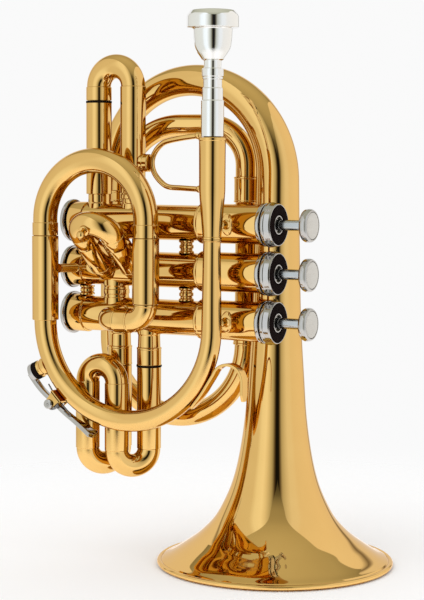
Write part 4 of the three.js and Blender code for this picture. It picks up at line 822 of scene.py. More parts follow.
lead = Route((LEAD_X, LEAD_Y, LEAD_JOINT), DOWN).line(LEAD_JOINT - LEAD_LINE).bend(LEAD_BEND, HALF_TURN, LEFT)
lead_fall = LEAD_JOINT - LEAD_LINE
lead_outline = [(0, 0), (0, RECEIVER_RING_R), (0.8, RECEIVER_RING_R), (1.0, LEAD_START_R),
                (lead_fall, LEAD_MID_R), (lead.length, LEAD_END_R), (lead.length, 0)]
solder(skin("leadpipe_skin", lead, lead_outline, BRASS), "leadpipe")
print("leadpipe is", round(lead.length), "mm along its middle")

# %% [markdown]
# ## Main tuning slide
# Two sleeves are soldered in place, and an arch with two slim legs slides in them. The sleeves are
# real tubes with an open top, so a pulled slide shows bare legs coming out of them. Every collar has
# its pair of lines, just as in the photograph.

# %% Main slide
MAIN_TOP = 219.0
SLEEVE_TOP = 178.2
LEFT_END = 132.4
RIGHT_END = 143.7
MAIN_LEG = 34.0
MAIN_COLLAR = 6.9
MAIN_SLEEVE_R = 7.2
MAIN_BEND = (MAIN_RIGHT_X - MAIN_LEFT_X) / 2
main_line = MAIN_TOP - MAIN_BEND
HAIR = 0.15
GROOVE_WIDE = 0.35
GROOVE_DEEP = 0.12


def line_pair(at, radius):
    """A fine turned groove, which draws a dark line round a tube."""
    low = radius - GROOVE_DEEP
    return [(at - GROOVE_WIDE, radius), (at - GROOVE_WIDE * 0.4, low), (at + GROOVE_WIDE * 0.4, low),
            (at + GROOVE_WIDE, radius)]


def open_sleeve(name, x, top, low):
    route = Route((x, LEAD_Y, top), DOWN).line(top - low)
    outline = hollow([(0, MAIN_SLEEVE_R - HAIR), (HAIR, MAIN_SLEEVE_R), (route.length - HAIR, MAIN_SLEEVE_R),
                      (route.length, MAIN_SLEEVE_R - HAIR)], [(0, SLEEVE_BORE), (route.length, SLEEVE_BORE)])
    return skin(name, route, outline, BRASS, closed=True)


solder(open_sleeve("main_sleeve_left_skin", MAIN_LEFT_X, SLEEVE_TOP, LEFT_END), "main_sleeve_left")
solder(open_sleeve("main_sleeve_right_skin", MAIN_RIGHT_X, SLEEVE_TOP, RIGHT_END), "main_sleeve_right")


def slide_outline(route, leg, collar, leg_r=LEG_R, collar_r=SLEEVE_R, crook_r=CROOK_R, bore=LEG_BORE):
    """Leg, collar, crook, collar, leg; the legs are open tubes."""
    end = route.length
    return hollow([(0, leg_r - HAIR), (0.3, leg_r), (leg - 0.02, leg_r), (leg, collar_r),
                   (leg + collar - 0.1, collar_r), (leg + collar, crook_r), (end - leg - collar, crook_r),
                   (end - leg - collar + 0.1, collar_r), (end - leg, collar_r), (end - leg + 0.02, leg_r),
                   (end - 0.3, leg_r), (end, leg_r - HAIR)], [(0, bore), (end, bore)])


main_rise = MAIN_LEG + main_line - SLEEVE_TOP - SLIT
main_route = Route((MAIN_LEFT_X, LEAD_Y, SLEEVE_TOP + SLIT - MAIN_LEG), UP).line(main_rise)
main_route.bend(MAIN_BEND, HALF_TURN, RIGHT).line(main_rise)
dress(skin("main_slide_skin", main_route, slide_outline(main_route, MAIN_LEG, MAIN_COLLAR), BRASS,
           closed=True), "main_slide_group", "lacquered_brass", "main_slide")
print("main slide arch radius", MAIN_BEND, "mm")

# %% [markdown]
# ## Inlet elbow and the slide's brace
# The right sleeve leads through a double elbow into the front of valve 3. A turned brace holds the
# left sleeve to valve 2.

# %% Inlet elbow and brace
INLET_X = 38.5
INLET_BEND = 9.0
INLET_R = 6.2
BRACE_FOOT_X = 20.5
inlet = Route((MAIN_RIGHT_X, LEAD_Y, RIGHT_END - SLIT), DOWN)
inlet.bend(INLET_BEND, QUARTER_TURN, LEFT).line(MAIN_RIGHT_X - INLET_X - 2 * INLET_BEND)
inlet.bend(INLET_BEND, QUARTER_TURN, BACK).line(-LEAD_Y - INLET_BEND)
elbow_run = INLET_BEND * QUARTER_TURN
inlet_end = inlet.length
inlet_outline = [(0, 0), (0, INLET_R + 0.5), (0.8, INLET_R + 0.5), (0.95, INLET_R),
                 (elbow_run - 0.1, INLET_R), *ferrule(elbow_run, elbow_run + 9.0, INLET_R + 0.3, 0.2),
                 (elbow_run + 9.1, INLET_R), *flared_end(inlet_end, INLET_R, CASING_R), (inlet_end, 0)]
solder(skin("inlet_elbow_skin", inlet, inlet_outline, BRASS, seats=casing_seat(3, FRONT)), "inlet_elbow")

brace_from = Vector((MAIN_LEFT_X, LEAD_Y, HEIGHT[2]))
brace_to = axis_place(2, BRACE_FOOT_X)
brace_span = (brace_to - brace_from).length - CASING_R
brace_outline = [(6.8, 0), (6.8, 3.4), (7.5, 3.0), (16.4, 3.0), (16.6, 3.2), (17.3, 3.2), (17.5, 2.2),
                 (brace_span - 0.4, 2.2), (brace_span + 0.6, 2.7), (brace_span + 0.6, 0)]
brace_route = Route(brace_from, (brace_to - brace_from).normalized()).line(brace_span + 1.0)
solder(skin("main_slide_brace", brace_route, brace_outline, BRASS, sides=ROD_SIDES,
            seats=casing_seat(2, FRONT)))
print("inlet elbow is", round(inlet.length), "mm along its middle")

# %% [markdown]
# ## First valve slide and its thumb saddle
# The left leg of this slide runs inside a fixed sleeve and the right leg runs over a fixed tube. A dark
# ring of old grease sits at the sleeve's end. The thumb saddle on the right leg is a bent brass wire
# with a ball on each end, and it follows in two cells of its own.

# %% First slide
FIRST_LEFT_X = 18.7
FIRST_RIGHT_X = 40.7
FIRST_TOP = 270.2
FIRST_SLEEVE_TOP = 251.6
FIRST_SLEEVE_END = 200.9
FIRST_LEG = 44.0
SEAL = 1.1
FIRST_BEND = (FIRST_RIGHT_X - FIRST_LEFT_X) / 2
first_line = FIRST_TOP - FIRST_BEND
rise = FIRST_SLEEVE_END - HEIGHT[1]

left = Route((FIRST_LEFT_X, 0, HEIGHT[1]), UP).line(FIRST_SLEEVE_TOP - HEIGHT[1])
left_outline = hollow([*flared(PORT_R, CASING_R), (rise - 0.3, PORT_R), (rise - 0.1, SLEEVE_R),
                       (left.length - SEAL, SLEEVE_R)],
                      [(CASING_R, PORT_BORE), (rise + 1, PORT_BORE), (rise + 1, SLEEVE_BORE),
                       (left.length - SEAL, SLEEVE_BORE)])
solder(skin("first_outer_tube_skin", left, left_outline, BRASS, closed=True, seats=casing_seat(1, UP)),
       "first_outer_tube")

right = Route((FIRST_RIGHT_X, 0, HEIGHT[1]), UP).line(rise + FIRST_LEG)
right_outline = hollow([*flared(PORT_R, CASING_R), (rise - 2.6, PORT_R), (rise - 2.4, SLEEVE_R - 0.2),
                        (rise - 0.2, SLEEVE_R - 0.2), (rise - 0.1, LEG_R), (right.length, LEG_R - HAIR)],
                       [(CASING_R, PORT_BORE), (right.length, PORT_BORE)])
solder(skin("first_inner_tube_skin", right, right_outline, BRASS, closed=True, seats=casing_seat(1, UP)),
       "first_inner_tube")

first_collar = first_line - FIRST_SLEEVE_TOP - SLIT
sleeve_fall = first_line - FIRST_SLEEVE_END - SLIT * 2
first_route = Route((FIRST_LEFT_X, 0, FIRST_SLEEVE_TOP + SLIT - FIRST_LEG), UP).line(FIRST_LEG + first_collar)
first_route.bend(FIRST_BEND, HALF_TURN, RIGHT).line(sleeve_fall)
crook_at = first_route.length - sleeve_fall
first_outline = hollow([(0, LEG_R - HAIR), (0.3, LEG_R), (FIRST_LEG - 0.02, LEG_R), (FIRST_LEG, SLEEVE_R),
                        (FIRST_LEG + first_collar - 0.1, SLEEVE_R), (FIRST_LEG + first_collar, CROOK_R),
                        (crook_at, CROOK_R), (crook_at + 0.1, SLEEVE_R),
                        (first_route.length, SLEEVE_R - HAIR)],
                       [(0, LEG_BORE), (crook_at + COLLAR, LEG_BORE), (crook_at + COLLAR, SLEEVE_BORE),
                        (first_route.length, SLEEVE_BORE)])
dress(skin("first_slide_skin", first_route, first_outline, BRASS, closed=True), "first_slide_group",
      "lacquered_brass", "first_slide")

seal = turned("first_slide_seal", (FIRST_LEFT_X, 0, FIRST_SLEEVE_TOP), DOWN,
              band(0, SEAL, SLEEVE_R + 0.1, SLEEVE_BORE), CORK_AND_GROOVE_SHADE, closed=True)
dress(seal, "horn", "cork")
print("first slide crook top at", FIRST_TOP + CROOK_R, "mm")

# %% [markdown]
# ## Wire that follows a path
# Bent wire turns up twice on this horn: in the thumb saddle and in the water key's spring. Each path
# follows a rule, so one Geometry Nodes tree makes both. It reads a bare line, turns it into a curve,
# sweeps a circle of the given radius along it, closes the ends and sets the material.

# %% Wire tree
def wire_tree():
    tree, nodes, links = node_tree("GeometryNodeTree", "bent_wire")
    tree.interface.new_socket("Line", in_out="INPUT", socket_type="NodeSocketGeometry")
    for title, kind, value in (("Radius", "NodeSocketFloat", 0.001), ("Sides", "NodeSocketInt", 16),
                               ("Material", "NodeSocketMaterial", None)):
        socket = tree.interface.new_socket(title, in_out="INPUT", socket_type=kind)
        if value is not None:
            socket.default_value = value
    tree.interface.new_socket("Wire", in_out="OUTPUT", socket_type="NodeSocketGeometry")
    given = put(nodes, "NodeGroupInput")
    result = put(nodes, "NodeGroupOutput")
    curve = put(nodes, "GeometryNodeMeshToCurve")
    circle = put(nodes, "GeometryNodeCurvePrimitiveCircle")
    sweep = put(nodes, "GeometryNodeCurveToMesh", [("Fill Caps", True)])
    realize = put(nodes, "GeometryNodeRealizeInstances")
    finish = put(nodes, "GeometryNodeSetMaterial")
    join(links, ((given, "Line"), (curve, "Mesh")), ((given, "Radius"), (circle, "Radius")),
         ((given, "Sides"), (circle, "Resolution")), ((curve, "Curve"), (sweep, "Curve")),
         ((circle, "Curve"), (sweep, "Profile Curve")), ((sweep, "Mesh"), (realize, "Geometry")),
         ((realize, "Geometry"), (finish, "Geometry")), ((given, "Material"), (finish, "Material")),
         ((finish, "Geometry"), (result, "Wire")))
    return tree


WIRE = wire_tree()


def socket_name(tree, title):
    """The identifier that a modifier uses for one of its tree's inputs."""
    return next(item.identifier
                for item in tree.interface.items_tree if item.name == title and item.in_out == "INPUT")


def wire(name, line, radius, material, sides=16):
    """A closed wire of a radius in millimetres along a list of places."""
    mesh = bpy.data.meshes.new(name)
    mesh.from_pydata([spot(p) for p in line], [(i, i + 1) for i in range(len(line) - 1)], [])
    path = place_object(name + "_path", mesh)
    modifier = path.modifiers.new("bent_wire", "NODES")
    modifier.node_group = WIRE
    modifier[socket_name(WIRE, "Radius")] = radius * MM
    modifier[socket_name(WIRE, "Sides")] = sides
    modifier[socket_name(WIRE, "Material")] = material
    bpy.context.view_layer.update()
    made = bpy.data.meshes.new_from_object(path.evaluated_get(bpy.context.evaluated_depsgraph_get()))
    bpy.data.objects.remove(path)
    made.name = name
    clean_mesh(made, dissolve=False)
    return place_object(name, made)


print("wire tree inputs:", [item.name for item in WIRE.interface.items_tree if item.in_out == "INPUT"])

# %% [markdown]
# A few pieces of the real horn are soldered up from several turned or bent ones. joined() makes one
# mesh of them and keeps their materials. ball() turns the round ends that such wires carry.

# %% Joined pieces and balls
BALL_BANDS = 16


def joined(name, pieces):
    """Several closed pieces as one mesh object."""
    work = bmesh.new()
    materials = []
    for piece in pieces:
        count = len(work.faces)
        work.from_mesh(piece.data)
        work.faces.ensure_lookup_table()
        for material in piece.data.materials:
            if material not in materials:
                materials.append(material)
        index = materials.index(piece.data.materials[0])
        for face in work.faces[count:]:
            face.material_index = index
    mesh = bpy.data.meshes.new(name)
    work.to_mesh(mesh)
    work.free()
    for material in materials:
        mesh.materials.append(material)
    mesh.set_sharp_from_angle(angle=SHARP)
    for piece in pieces:
        bpy.data.objects.remove(piece)
    return place_object(name, mesh)


def ball(name, at, radius, material, axis):
    outline = [(radius * -math.cos(HALF_TURN * i / BALL_BANDS), radius * math.sin(HALF_TURN * i / BALL_BANDS))
               for i in range(BALL_BANDS + 1)]
    outline[0], outline[-1] = (-radius, 0), (radius, 0)
    return turned(name, at, axis, outline, material, sides=ROD_SIDES, easing=0.001)


print("a ball has", BALL_BANDS, "bands")

# %% [markdown]
# The saddle's route is a short list of places on the real wire, drawn as one smooth curve: from the
# upper ball, down to the seat on the slide, round the thumb's hollow and out to the lower ball.

# %% Thumb saddle
SADDLE_Z = 219.0
SADDLE_R = 1.5
SADDLE_BALL_R = 2.0
SADDLE_PATH = ((33.8, 13.4), (24.6, 12.3), (14.8, 10.5), (10.6, 8.5), (7.2, 4.9), (5.4, 0.9), (5.4, -3.2),
               (7.0, -7.2), (10.6, -11.2), (15.3, -13.9), (23.7, -14.5), (34.5, -15.0))
saddle_wall = FIRST_RIGHT_X + SLEEVE_R
saddle_line = [Vector((saddle_wall + x, 0, SADDLE_Z + z)) for x, z in smooth_curve(SADDLE_PATH, 8)]
saddle_base = turned("saddle_base", (saddle_wall, 0, SADDLE_Z - 1.2), RIGHT,
                     [(-0.9, 0), (-0.9, 5.2), (0.7, 5.0), (1.1, 4.8), (3.5, 4.8), (3.9, 4.4), (4.0, 0)],
                     BRASS, sides=ROD_SIDES)
saddle_balls = [ball(f"saddle_ball_{i}", place, SADDLE_BALL_R, BRASS, RIGHT)
                for i, place in enumerate((saddle_line[0], saddle_line[-1]))]
saddle_parts = [wire("saddle_wire", saddle_line, SADDLE_R, BRASS), saddle_base, *saddle_balls]
dress(joined("thumb_saddle_skin", saddle_parts), "first_slide_group", "lacquered_brass", "thumb_saddle")
print("thumb saddle reaches", round(saddle_line[-1].x, 1), "mm")

# %% [markdown]
# ## Second valve slide
# The shortest slide faces the viewer. Its two ports leave casing 2 straight forwards, turn up in a
# short elbow and end in sleeves that lean back like a lectern. The little crook slides in them by a
# pull knob at the top of its bend: a foot soldered on, a neck and a ball.

# %% Second slide
SECOND_LEFT_X = 29.0
SECOND_RIGHT_X = 48.2
SECOND_FRONT = 7.6
SECOND_ELBOW = 8.0
SECOND_TILT = math.radians(41.5)
SECOND_R = 6.55
SECOND_WALL = 0.45
SECOND_SLEEVE = 19.0
SECOND_COLLAR = 6.7
SECOND_LEG = 14.0
SECOND_BORE = 5.0
KNOB_LEAN = math.radians(15)
KNOB_BALL = 2.25
second_bend = (SECOND_RIGHT_X - SECOND_LEFT_X) / 2
elbow_end = SECOND_FRONT + SECOND_ELBOW * SECOND_TILT


def second_line(x):
    return Route(axis_place(2, x), FRONT).line(SECOND_FRONT).bend(
        SECOND_ELBOW, SECOND_TILT, UP).line(SECOND_SLEEVE)


for side_name, x in (("left", SECOND_LEFT_X), ("right", SECOND_RIGHT_X)):
    port = second_line(x)
    outline = hollow([*flared(PORT_R, CASING_R), (elbow_end - 0.1, PORT_R), (elbow_end, SECOND_R),
                      *line_pair(elbow_end + 1.2, SECOND_R), (port.length, SECOND_R - HAIR)],
                     [(CASING_R, SECOND_BORE), (elbow_end + 1, SECOND_BORE),
                      (elbow_end + 1, SECOND_R - SECOND_WALL), (port.length, SECOND_R - SECOND_WALL)])
    solder(skin(f"second_port_{side_name}_skin", port, outline, BRASS, closed=True,
                seats=casing_seat(2, FRONT)), f"second_port_{side_name}")

sleeve_end, lean, _ = second_line(SECOND_LEFT_X).end
second_route = Route(sleeve_end + lean * (SLIT - SECOND_LEG), lean).line(SECOND_LEG + SECOND_COLLAR)
second_route.bend(second_bend, HALF_TURN, RIGHT).line(SECOND_LEG + SECOND_COLLAR)
second_outline = slide_outline(second_route, SECOND_LEG, SECOND_COLLAR, SECOND_R - SECOND_WALL - SLIT,
                               SECOND_R, SECOND_R - 0.2, SECOND_BORE)
second_crook = skin("second_crook", second_route, second_outline, BRASS, closed=True)
knob_way = RIGHT.cross(lean) * math.cos(KNOB_LEAN) + lean * math.sin(KNOB_LEAN)
knob_foot = second_route.at(second_route.length / 2)[0] + knob_way * (SECOND_R - 0.7)
knob_round = [(4.6 - KNOB_BALL * math.cos(math.radians(a)), KNOB_BALL * math.sin(math.radians(a)))
              for a in range(40, 180, 10)]
knob = turned("second_knob", knob_foot, knob_way,
              [(0, 0), (0, 2.9), (1.3, 2.9), (1.6, 2.6), (1.7, 1.4), *knob_round, (4.6 + KNOB_BALL, 0)],
              BRASS, sides=ROD_SIDES, easing=0.08)
dress(joined("second_slide_skin", [second_crook, knob]), "second_slide_group", "lacquered_brass",
      "second_slide")
print("second slide leans", round(math.degrees(SECOND_TILT), 1), "degrees")

# %% [markdown]
# ## Third valve slide
# The longest slide is folded twice. From two short ports under valve 3, two slim tubes hang down, and
# the double U runs over them: down, up, over and down again.

# %% Third slide
THIRD_RIGHT_X = 51.2
THIRD_LEFT_X = 32.4
THIRD_STEP = Vector((-12.2, -13.7, 0))
THIRD_R = 6.6
THIRD_BORE = 6.15
THIRD_PORT_R = 6.2
THIRD_COLLAR_R = 6.8
THIRD_COLLAR_TOP = 117.6
THIRD_COLLAR_END = 107.2
THIRD_LOW = 62.0
THIRD_HIGH = 98.6
THIRD_LEG = 38.0
port_fall = HEIGHT[3] - THIRD_COLLAR_TOP
port_end = HEIGHT[3] - THIRD_COLLAR_END

for side_name, x in (("right", THIRD_RIGHT_X), ("left", THIRD_LEFT_X)):
    port = Route((x, 0, HEIGHT[3]), DOWN).line(port_end + THIRD_LEG)
    outline = hollow([*flared(THIRD_PORT_R - 0.2, CASING_R), (port_fall - 0.2, THIRD_PORT_R),
                      *ferrule(port_fall, port_end, THIRD_COLLAR_R - 0.15, 0.15),
                      (port_end + 0.1, THIRD_BORE - 0.4), (port.length, THIRD_BORE - 0.5)],
                     [(CASING_R, PORT_BORE - 0.6), (port.length, PORT_BORE - 0.6)])
    solder(skin(f"third_port_{side_name}_skin", port, outline, BRASS, closed=True,
                seats=casing_seat(3, DOWN)), f"third_port_{side_name}")

third_top = THIRD_COLLAR_END - SLIT
third_bend = THIRD_STEP.length / 2
third_run = THIRD_HIGH - THIRD_LOW
third_route = Route((THIRD_RIGHT_X, 0, third_top),
                    DOWN).line(third_top - THIRD_LOW).bend(third_bend, HALF_TURN, THIRD_STEP)
low_1 = third_route.length
third_route.line(third_run)
high_1 = third_route.length
third_route.bend((THIRD_RIGHT_X - THIRD_LEFT_X) / 2, HALF_TURN, LEFT)
high_2 = third_route.length
third_route.line(third_run)
low_2 = third_route.length
third_route.bend(third_bend, HALF_TURN, -THIRD_STEP).line(third_top - THIRD_LOW)
sleeve = third_top - THIRD_LOW
end = third_route.length
THIRD_CROOK_R = THIRD_R - 0.3


def thick_run(start, stop):
    """A straight tube of the double U, a little prouder than the crooks at its ends."""
    return [(start - 0.1, THIRD_CROOK_R), (start, THIRD_R), (stop, THIRD_R), (stop + 0.1, THIRD_CROOK_R)]


third_outline = hollow([(0, THIRD_R - HAIR), (HAIR, THIRD_R), (sleeve - 0.1, THIRD_R),
                        (sleeve, THIRD_CROOK_R), *thick_run(low_1, high_1), *thick_run(high_2, low_2),
                        (end - sleeve, THIRD_CROOK_R), (end - sleeve + 0.1, THIRD_R), (end - HAIR, THIRD_R),
                        (end, THIRD_R - HAIR)],
                       [(0, THIRD_BORE), (sleeve, THIRD_BORE), (sleeve, PORT_BORE), (end - sleeve, PORT_BORE),
                        (end - sleeve, THIRD_BORE), (end, THIRD_BORE)])
dress(skin("third_slide_skin", third_route, third_outline, BRASS, closed=True), "third_slide_group",
      "lacquered_brass", "third_slide")
ring = turned("third_slide_seal", (THIRD_RIGHT_X, 0, THIRD_COLLAR_END - 0.22), UP,
              band(0, SEAL, THIRD_COLLAR_R + 0.15, THIRD_BORE), CORK_AND_GROOVE_SHADE, closed=True)
dress(ring, "horn", "cork")
print("third slide is", round(third_route.length), "mm along its middle")

# %% [markdown]
# ## Knuckles and braces
# Short knuckles join neighbouring valves: a tube with a solder fillet at both ends and a low ring round
# its middle, seated on both casings.

# %% Knuckles
KNUCKLE_R = 7.2
KNUCKLE_TUBE_R = KNUCKLE_R - 0.3
KNUCKLES = {"knuckle_12": (1, 29.6), "knuckle_23": (2, 30.2)}
for node, (above, x) in KNUCKLES.items():
    low, high = HEIGHT[above + 1], HEIGHT[above]
    span = high - low
    middle = span / 2
    route = Route((x, 0, low), UP).line(span)
    outline = [(0, 0), *flared(KNUCKLE_TUBE_R, CASING_R - 0.3), (middle - 1.4, KNUCKLE_TUBE_R),
               (middle - 1.2, KNUCKLE_R), (middle + 1.2, KNUCKLE_R), (middle + 1.4, KNUCKLE_TUBE_R),
               *flared_end(span, KNUCKLE_TUBE_R, CASING_R - 0.3), (span, 0)]
    seats = casing_seat(above + 1, UP) + casing_seat(above, DOWN)
    solder(skin(node + "_skin", route, outline, BRASS, seats=seats), node)
print("knuckles:", list(KNUCKLES))

# %% [markdown]
# Turned braces with oval flanges hold the leadpipe to valves 1 and 3, and one more ties valve 2 to the
# bell behind. A flange is a thin disc squeezed to an oval and wrapped on the round casing.

# %% Braces
BRACE_R = 1.9
BELL_BRACE_X = 109.0
BELL_BRACE_CLEAR = 12.55
LEAD_BRACES = (1, 3)
FLANGE_WIDE = 6.6
FLANGE_TALL = 12.0
FLANGE_THICK = 1.2


def oval_flange(name, x, height, casing_r):
    """An oval plate that hugs the front of a casing."""
    rings, sides = 5, 40
    points, faces = [], []
    for layer, lift in ((0, -0.15), (1, FLANGE_THICK)):
        for ring in range(rings + 1):
            share = ring / rings
            edge = 0.35 if layer and ring == rings else 0
            for k in range(sides):
                angle = FULL_TURN * k / sides
                px = x + (FLANGE_WIDE / 2 - edge) * share * math.cos(angle)
                across = (FLANGE_TALL / 2 - edge) * share * math.sin(angle)
                turn = across / casing_r
                radius = casing_r + lift - (0.3 if layer and ring == rings else 0)
                points.append((px, -radius * math.cos(turn), height + radius * math.sin(turn)))
    for layer in (0, 1):
        base = layer * (rings + 1) * sides
        for ring in range(rings):
            for k in range(sides):
                a, b = base + ring * sides + k, base + ring * sides + (k + 1) % sides
                faces.append((a, b, b + sides, a + sides))
    lower, upper = rings * sides, (2 * rings + 1) * sides
    for k in range(sides):
        after = (k + 1) % sides
        faces.append((lower + k, lower + after, upper + after, upper + k))
    return finish_mesh(name, points, faces, BRASS)


def lead_brace(number):
    height = HEIGHT[number]
    pipe_r = LEAD_START_R + (LEAD_MID_R - LEAD_START_R) * max(LEAD_JOINT - height, 0) / (LEAD_JOINT - LEAD_LINE)
    reach = -LEAD_Y - HEAD_R
    pipe_skin = max(pipe_r, LEAD_START_R)
    half = reach / 2
    outline = [(pipe_skin - 0.4, 0), (pipe_skin - 0.4, 2.9), (pipe_skin + 0.4, 2.7),
               (pipe_skin + 0.9, BRACE_R), (half, BRACE_R - 0.2), (half + 0.5, 2.4), (half + 1.6, 2.4),
               (half + 2.1, BRACE_R - 0.2), (reach - 2.2, BRACE_R), (reach - 1.2, 2.6), (reach, 2.8),
               (reach, 0)]
    rod = turned(f"brace_rod_{number}", (LEAD_X, LEAD_Y, height), BACK, outline, BRASS, sides=ROD_SIDES)
    return joined(f"leadpipe_brace_{number}_skin",
                  [rod, oval_flange(f"brace_flange_{number}", LEAD_X, height, HEAD_R)])


for number in LEAD_BRACES:
    solder(lead_brace(number), f"leadpipe_brace_{number}")

bell_brace_from = axis_place(2, BELL_BRACE_X)
bell_brace_way = Vector((BELL_X, BELL_Y, HEIGHT[2])) - bell_brace_from
bell_reach = bell_brace_way.length - BELL_BRACE_CLEAR
bell_brace_outline = [(HEAD_R - 0.3, 0), (HEAD_R - 0.3, 3.2), (HEAD_R + 0.9, 3.0), (HEAD_R + 1.4, BRACE_R),
                      (bell_reach - 1.0, BRACE_R), (bell_reach - 0.5, 3.0), (bell_reach + 0.2, 3.2),
                      (bell_reach + 0.2, 0)]
bell_brace = turned("bell_brace_skin", bell_brace_from, bell_brace_way, bell_brace_outline, BRASS,
                    sides=ROD_SIDES)
solder(bell_brace, "bell_brace")
print("braces:", 1 + len(LEAD_BRACES))

# %% [markdown]
# ## Finger hook
# The hook is a flat brass strip. It lies along the outside of the leadpipe's bend, lifts off, turns
# over in a half circle and hangs down as a free leg with a rounded end. It is a strip section carried
# along that line, narrow where it starts, with softly rounded edges.

# %% Finger hook
HOOK_WIDE = 6.0
HOOK_THICK = 1.5
HOOK_FROM = -46.0
HOOK_LIFT = -31.0
HOOK_TOP = 114.6
HOOK_TURN_X = 115.3
HOOK_BEND = 8.6
HOOK_TURN_FROM = 157.5
HOOK_END = 96.0
STRIP_CORNER = 0.35
CORNER_STEPS = 4
hook_at = LEAD_BEND + bow_radius(math.radians(HOOK_FROM) + FULL_TURN) + SLIT / 2 + HOOK_THICK / 2
hook_turn = Vector((HOOK_TURN_X, LEAD_Y, HOOK_TOP - HOOK_BEND))


def hook_line():
    base = [on_bow(HOOK_FROM + (HOOK_LIFT - HOOK_FROM) * i / 14, hook_at) for i in range(15)]
    over = [hook_turn + away(HOOK_TURN_FROM * (1 - i / 24)) * HOOK_BEND for i in range(25)]
    steps = 8
    free = [over[-1] + DOWN * ((over[-1].z - HOOK_END) * i / steps) for i in range(1, steps + 1)]
    return base + over + free


def strip(name, line, widths, thickness, material):
    """A flat strip with rounded edges along a line that stays in one upright plane."""
    points = []
    section = []
    for cx, cz, start in ((1, 1, 0), (-1, 1, 90), (-1, -1, 180), (1, -1, 270)):
        for i in range(CORNER_STEPS + 1):
            angle = math.radians(start + 90 * i / CORNER_STEPS)
            section.append((cx, cz, STRIP_CORNER * (math.cos(angle) - cx),
                            STRIP_CORNER * (math.sin(angle) - cz)))
    for i, place in enumerate(line):
        before, after = line[max(i - 1, 0)], line[min(i + 1, len(line) - 1)]
        heading = (after - before).normalized()
        across = Vector((-heading.z, 0, heading.x))
        for cx, cz, ex, ez in section:
            points.append(place + BACK * (cx * widths[i] / 2 + ex) + across * (cz * thickness / 2 + ez))
    count = len(section)
    faces = [tuple(range(count)), tuple(range((len(line) - 1) * count, len(line) * count))]
    for row in range(len(line) - 1):
        for k in range(count):
            after = (k + 1) % count
            faces.append((row * count + k, row * count + after, (row + 1) * count + after,
                          (row + 1) * count + k))
    return finish_mesh(name, points, faces, material)


line = hook_line()
widths = []
for i, place in enumerate(line):
    from_start, from_end = i / 6, (len(line) - 1 - i) / 3
    widths.append(HOOK_WIDE * min(1, 0.55 + 0.45 * math.sin(min(from_start, 1) * QUARTER_TURN),
                                  0.5 + 0.5 * math.sin(min(from_end, 1) * QUARTER_TURN)))
solder(strip("finger_hook_skin", line, widths, HOOK_THICK, BRASS), "finger_hook")
print("finger hook strip:", HOOK_WIDE, "by", HOOK_THICK, "mm")

# %% [markdown]
# ## Water key
# Pressing the thumb plate lifts a cork off the little chimney on the leadpipe. The lever turns on a
# screw between two ears, and a wire spring presses it shut. The chimney and ears are brass; lever, cup
# and screw are nickel plated, the cork dark.

# %% Water key
NIPPLE_AT = 206.3
NIPPLE_R = 4.8
NIPPLE_BORE = 2.0
NIPPLE_LENGTH = 3.4
CORK_R = 4.9
CORK_LENGTH = 3.5


def bow_skin(degrees):
    return LEAD_BEND + bow_radius(math.radians(degrees))


nipple_top = bow_skin(NIPPLE_AT) + NIPPLE_LENGTH
cork_low = nipple_top + SLIT / 2
cup_low = cork_low + CORK_LENGTH - 0.3
nipple_low = LEAD_BEND + 4
nipple_foot = nipple_top - NIPPLE_LENGTH
chimney_outline = hollow([(nipple_low, NIPPLE_R + 0.4), (nipple_foot + 0.6, NIPPLE_R + 0.3),
                          (nipple_foot + 1.4, NIPPLE_R - 0.3), (nipple_top - 0.8, NIPPLE_R - 0.4),
                          (nipple_top, NIPPLE_R)], [(nipple_low, NIPPLE_BORE), (nipple_top, NIPPLE_BORE)])
chimney = turned("water_chimney", BOW, away(NIPPLE_AT), chimney_outline, BRASS, closed=True, sides=HUB_SIDES)
solder(chimney)
cork_outline = [(cork_low, 0), (cork_low, CORK_R), (cup_low + 0.2, CORK_R), (cup_low + 0.2, 0)]
cork_disc = turned("cork_disc", BOW, away(NIPPLE_AT), cork_outline, CORK_AND_GROOVE_SHADE, sides=HUB_SIDES)
dress(cork_disc, "water_key_group", "cork", "water_key_cork")
print("chimney is", NIPPLE_LENGTH, "mm high")

# %% [markdown]
# The lever is one nickel piece: a cup over the cork, an arm that runs over the hub and spreads into the
# thumb plate, and the hub itself with a hole for the screw.

# %% Lever of the water key
PIVOT_AT = 225.0
PIVOT_STAND = 6.2
TIP_AT = 252.0
TIP_STAND = 7.0
CUP_R = 5.0
CUP_LENGTH = 2.6
ARM_THICK = 2.5
ARM_STEPS = 32
ARM_SHARE = 0.4
HUB_R = 2.6
HUB_LENGTH = 10.4
SCREW_R = 1.3
pivot = on_bow(PIVOT_AT, bow_skin(PIVOT_AT) + PIVOT_STAND)
cup_top = nipple_top + 2 * SLIT + CORK_LENGTH + CUP_LENGTH
hub_half = HUB_LENGTH / 2
tip = on_bow(TIP_AT, bow_skin(TIP_AT) + TIP_STAND)
head = on_bow(NIPPLE_AT, cup_top + 0.6)
arm = []
arm_widths = []
for i in range(ARM_STEPS + 1):
    share = i / ARM_STEPS
    if share < ARM_SHARE:
        t = share / ARM_SHARE
        place = head.lerp(pivot, t) + away(PIVOT_AT) * (1.2 * math.sin(math.pi * t))
        width = 4.0 - 0.4 * t
    else:
        t = (share - ARM_SHARE) / (1 - ARM_SHARE)
        place = pivot.lerp(tip, t) + away(TIP_AT) * (1.4 * math.sin(math.pi * t) * (1 - t))
        width = 3.6 + 6.0 * max(0.0, (t - 0.45) / 0.55) ** 1.3
        if t > 0.93:
            width *= math.sqrt(max(1 - ((t - 0.93) / 0.075) ** 2, 0.05))
    arm.append(place)
    arm_widths.append(width)
key_cup_outline = [(cup_low, 0), (cup_low, CUP_R), (cup_top - 1.0, CUP_R), (cup_top - 0.3, 4.2),
                   (cup_top, 2.6), (cup_top + 0.1, 0)]
hub_outline = band(-hub_half, hub_half, HUB_R, SCREW_R + 0.2)
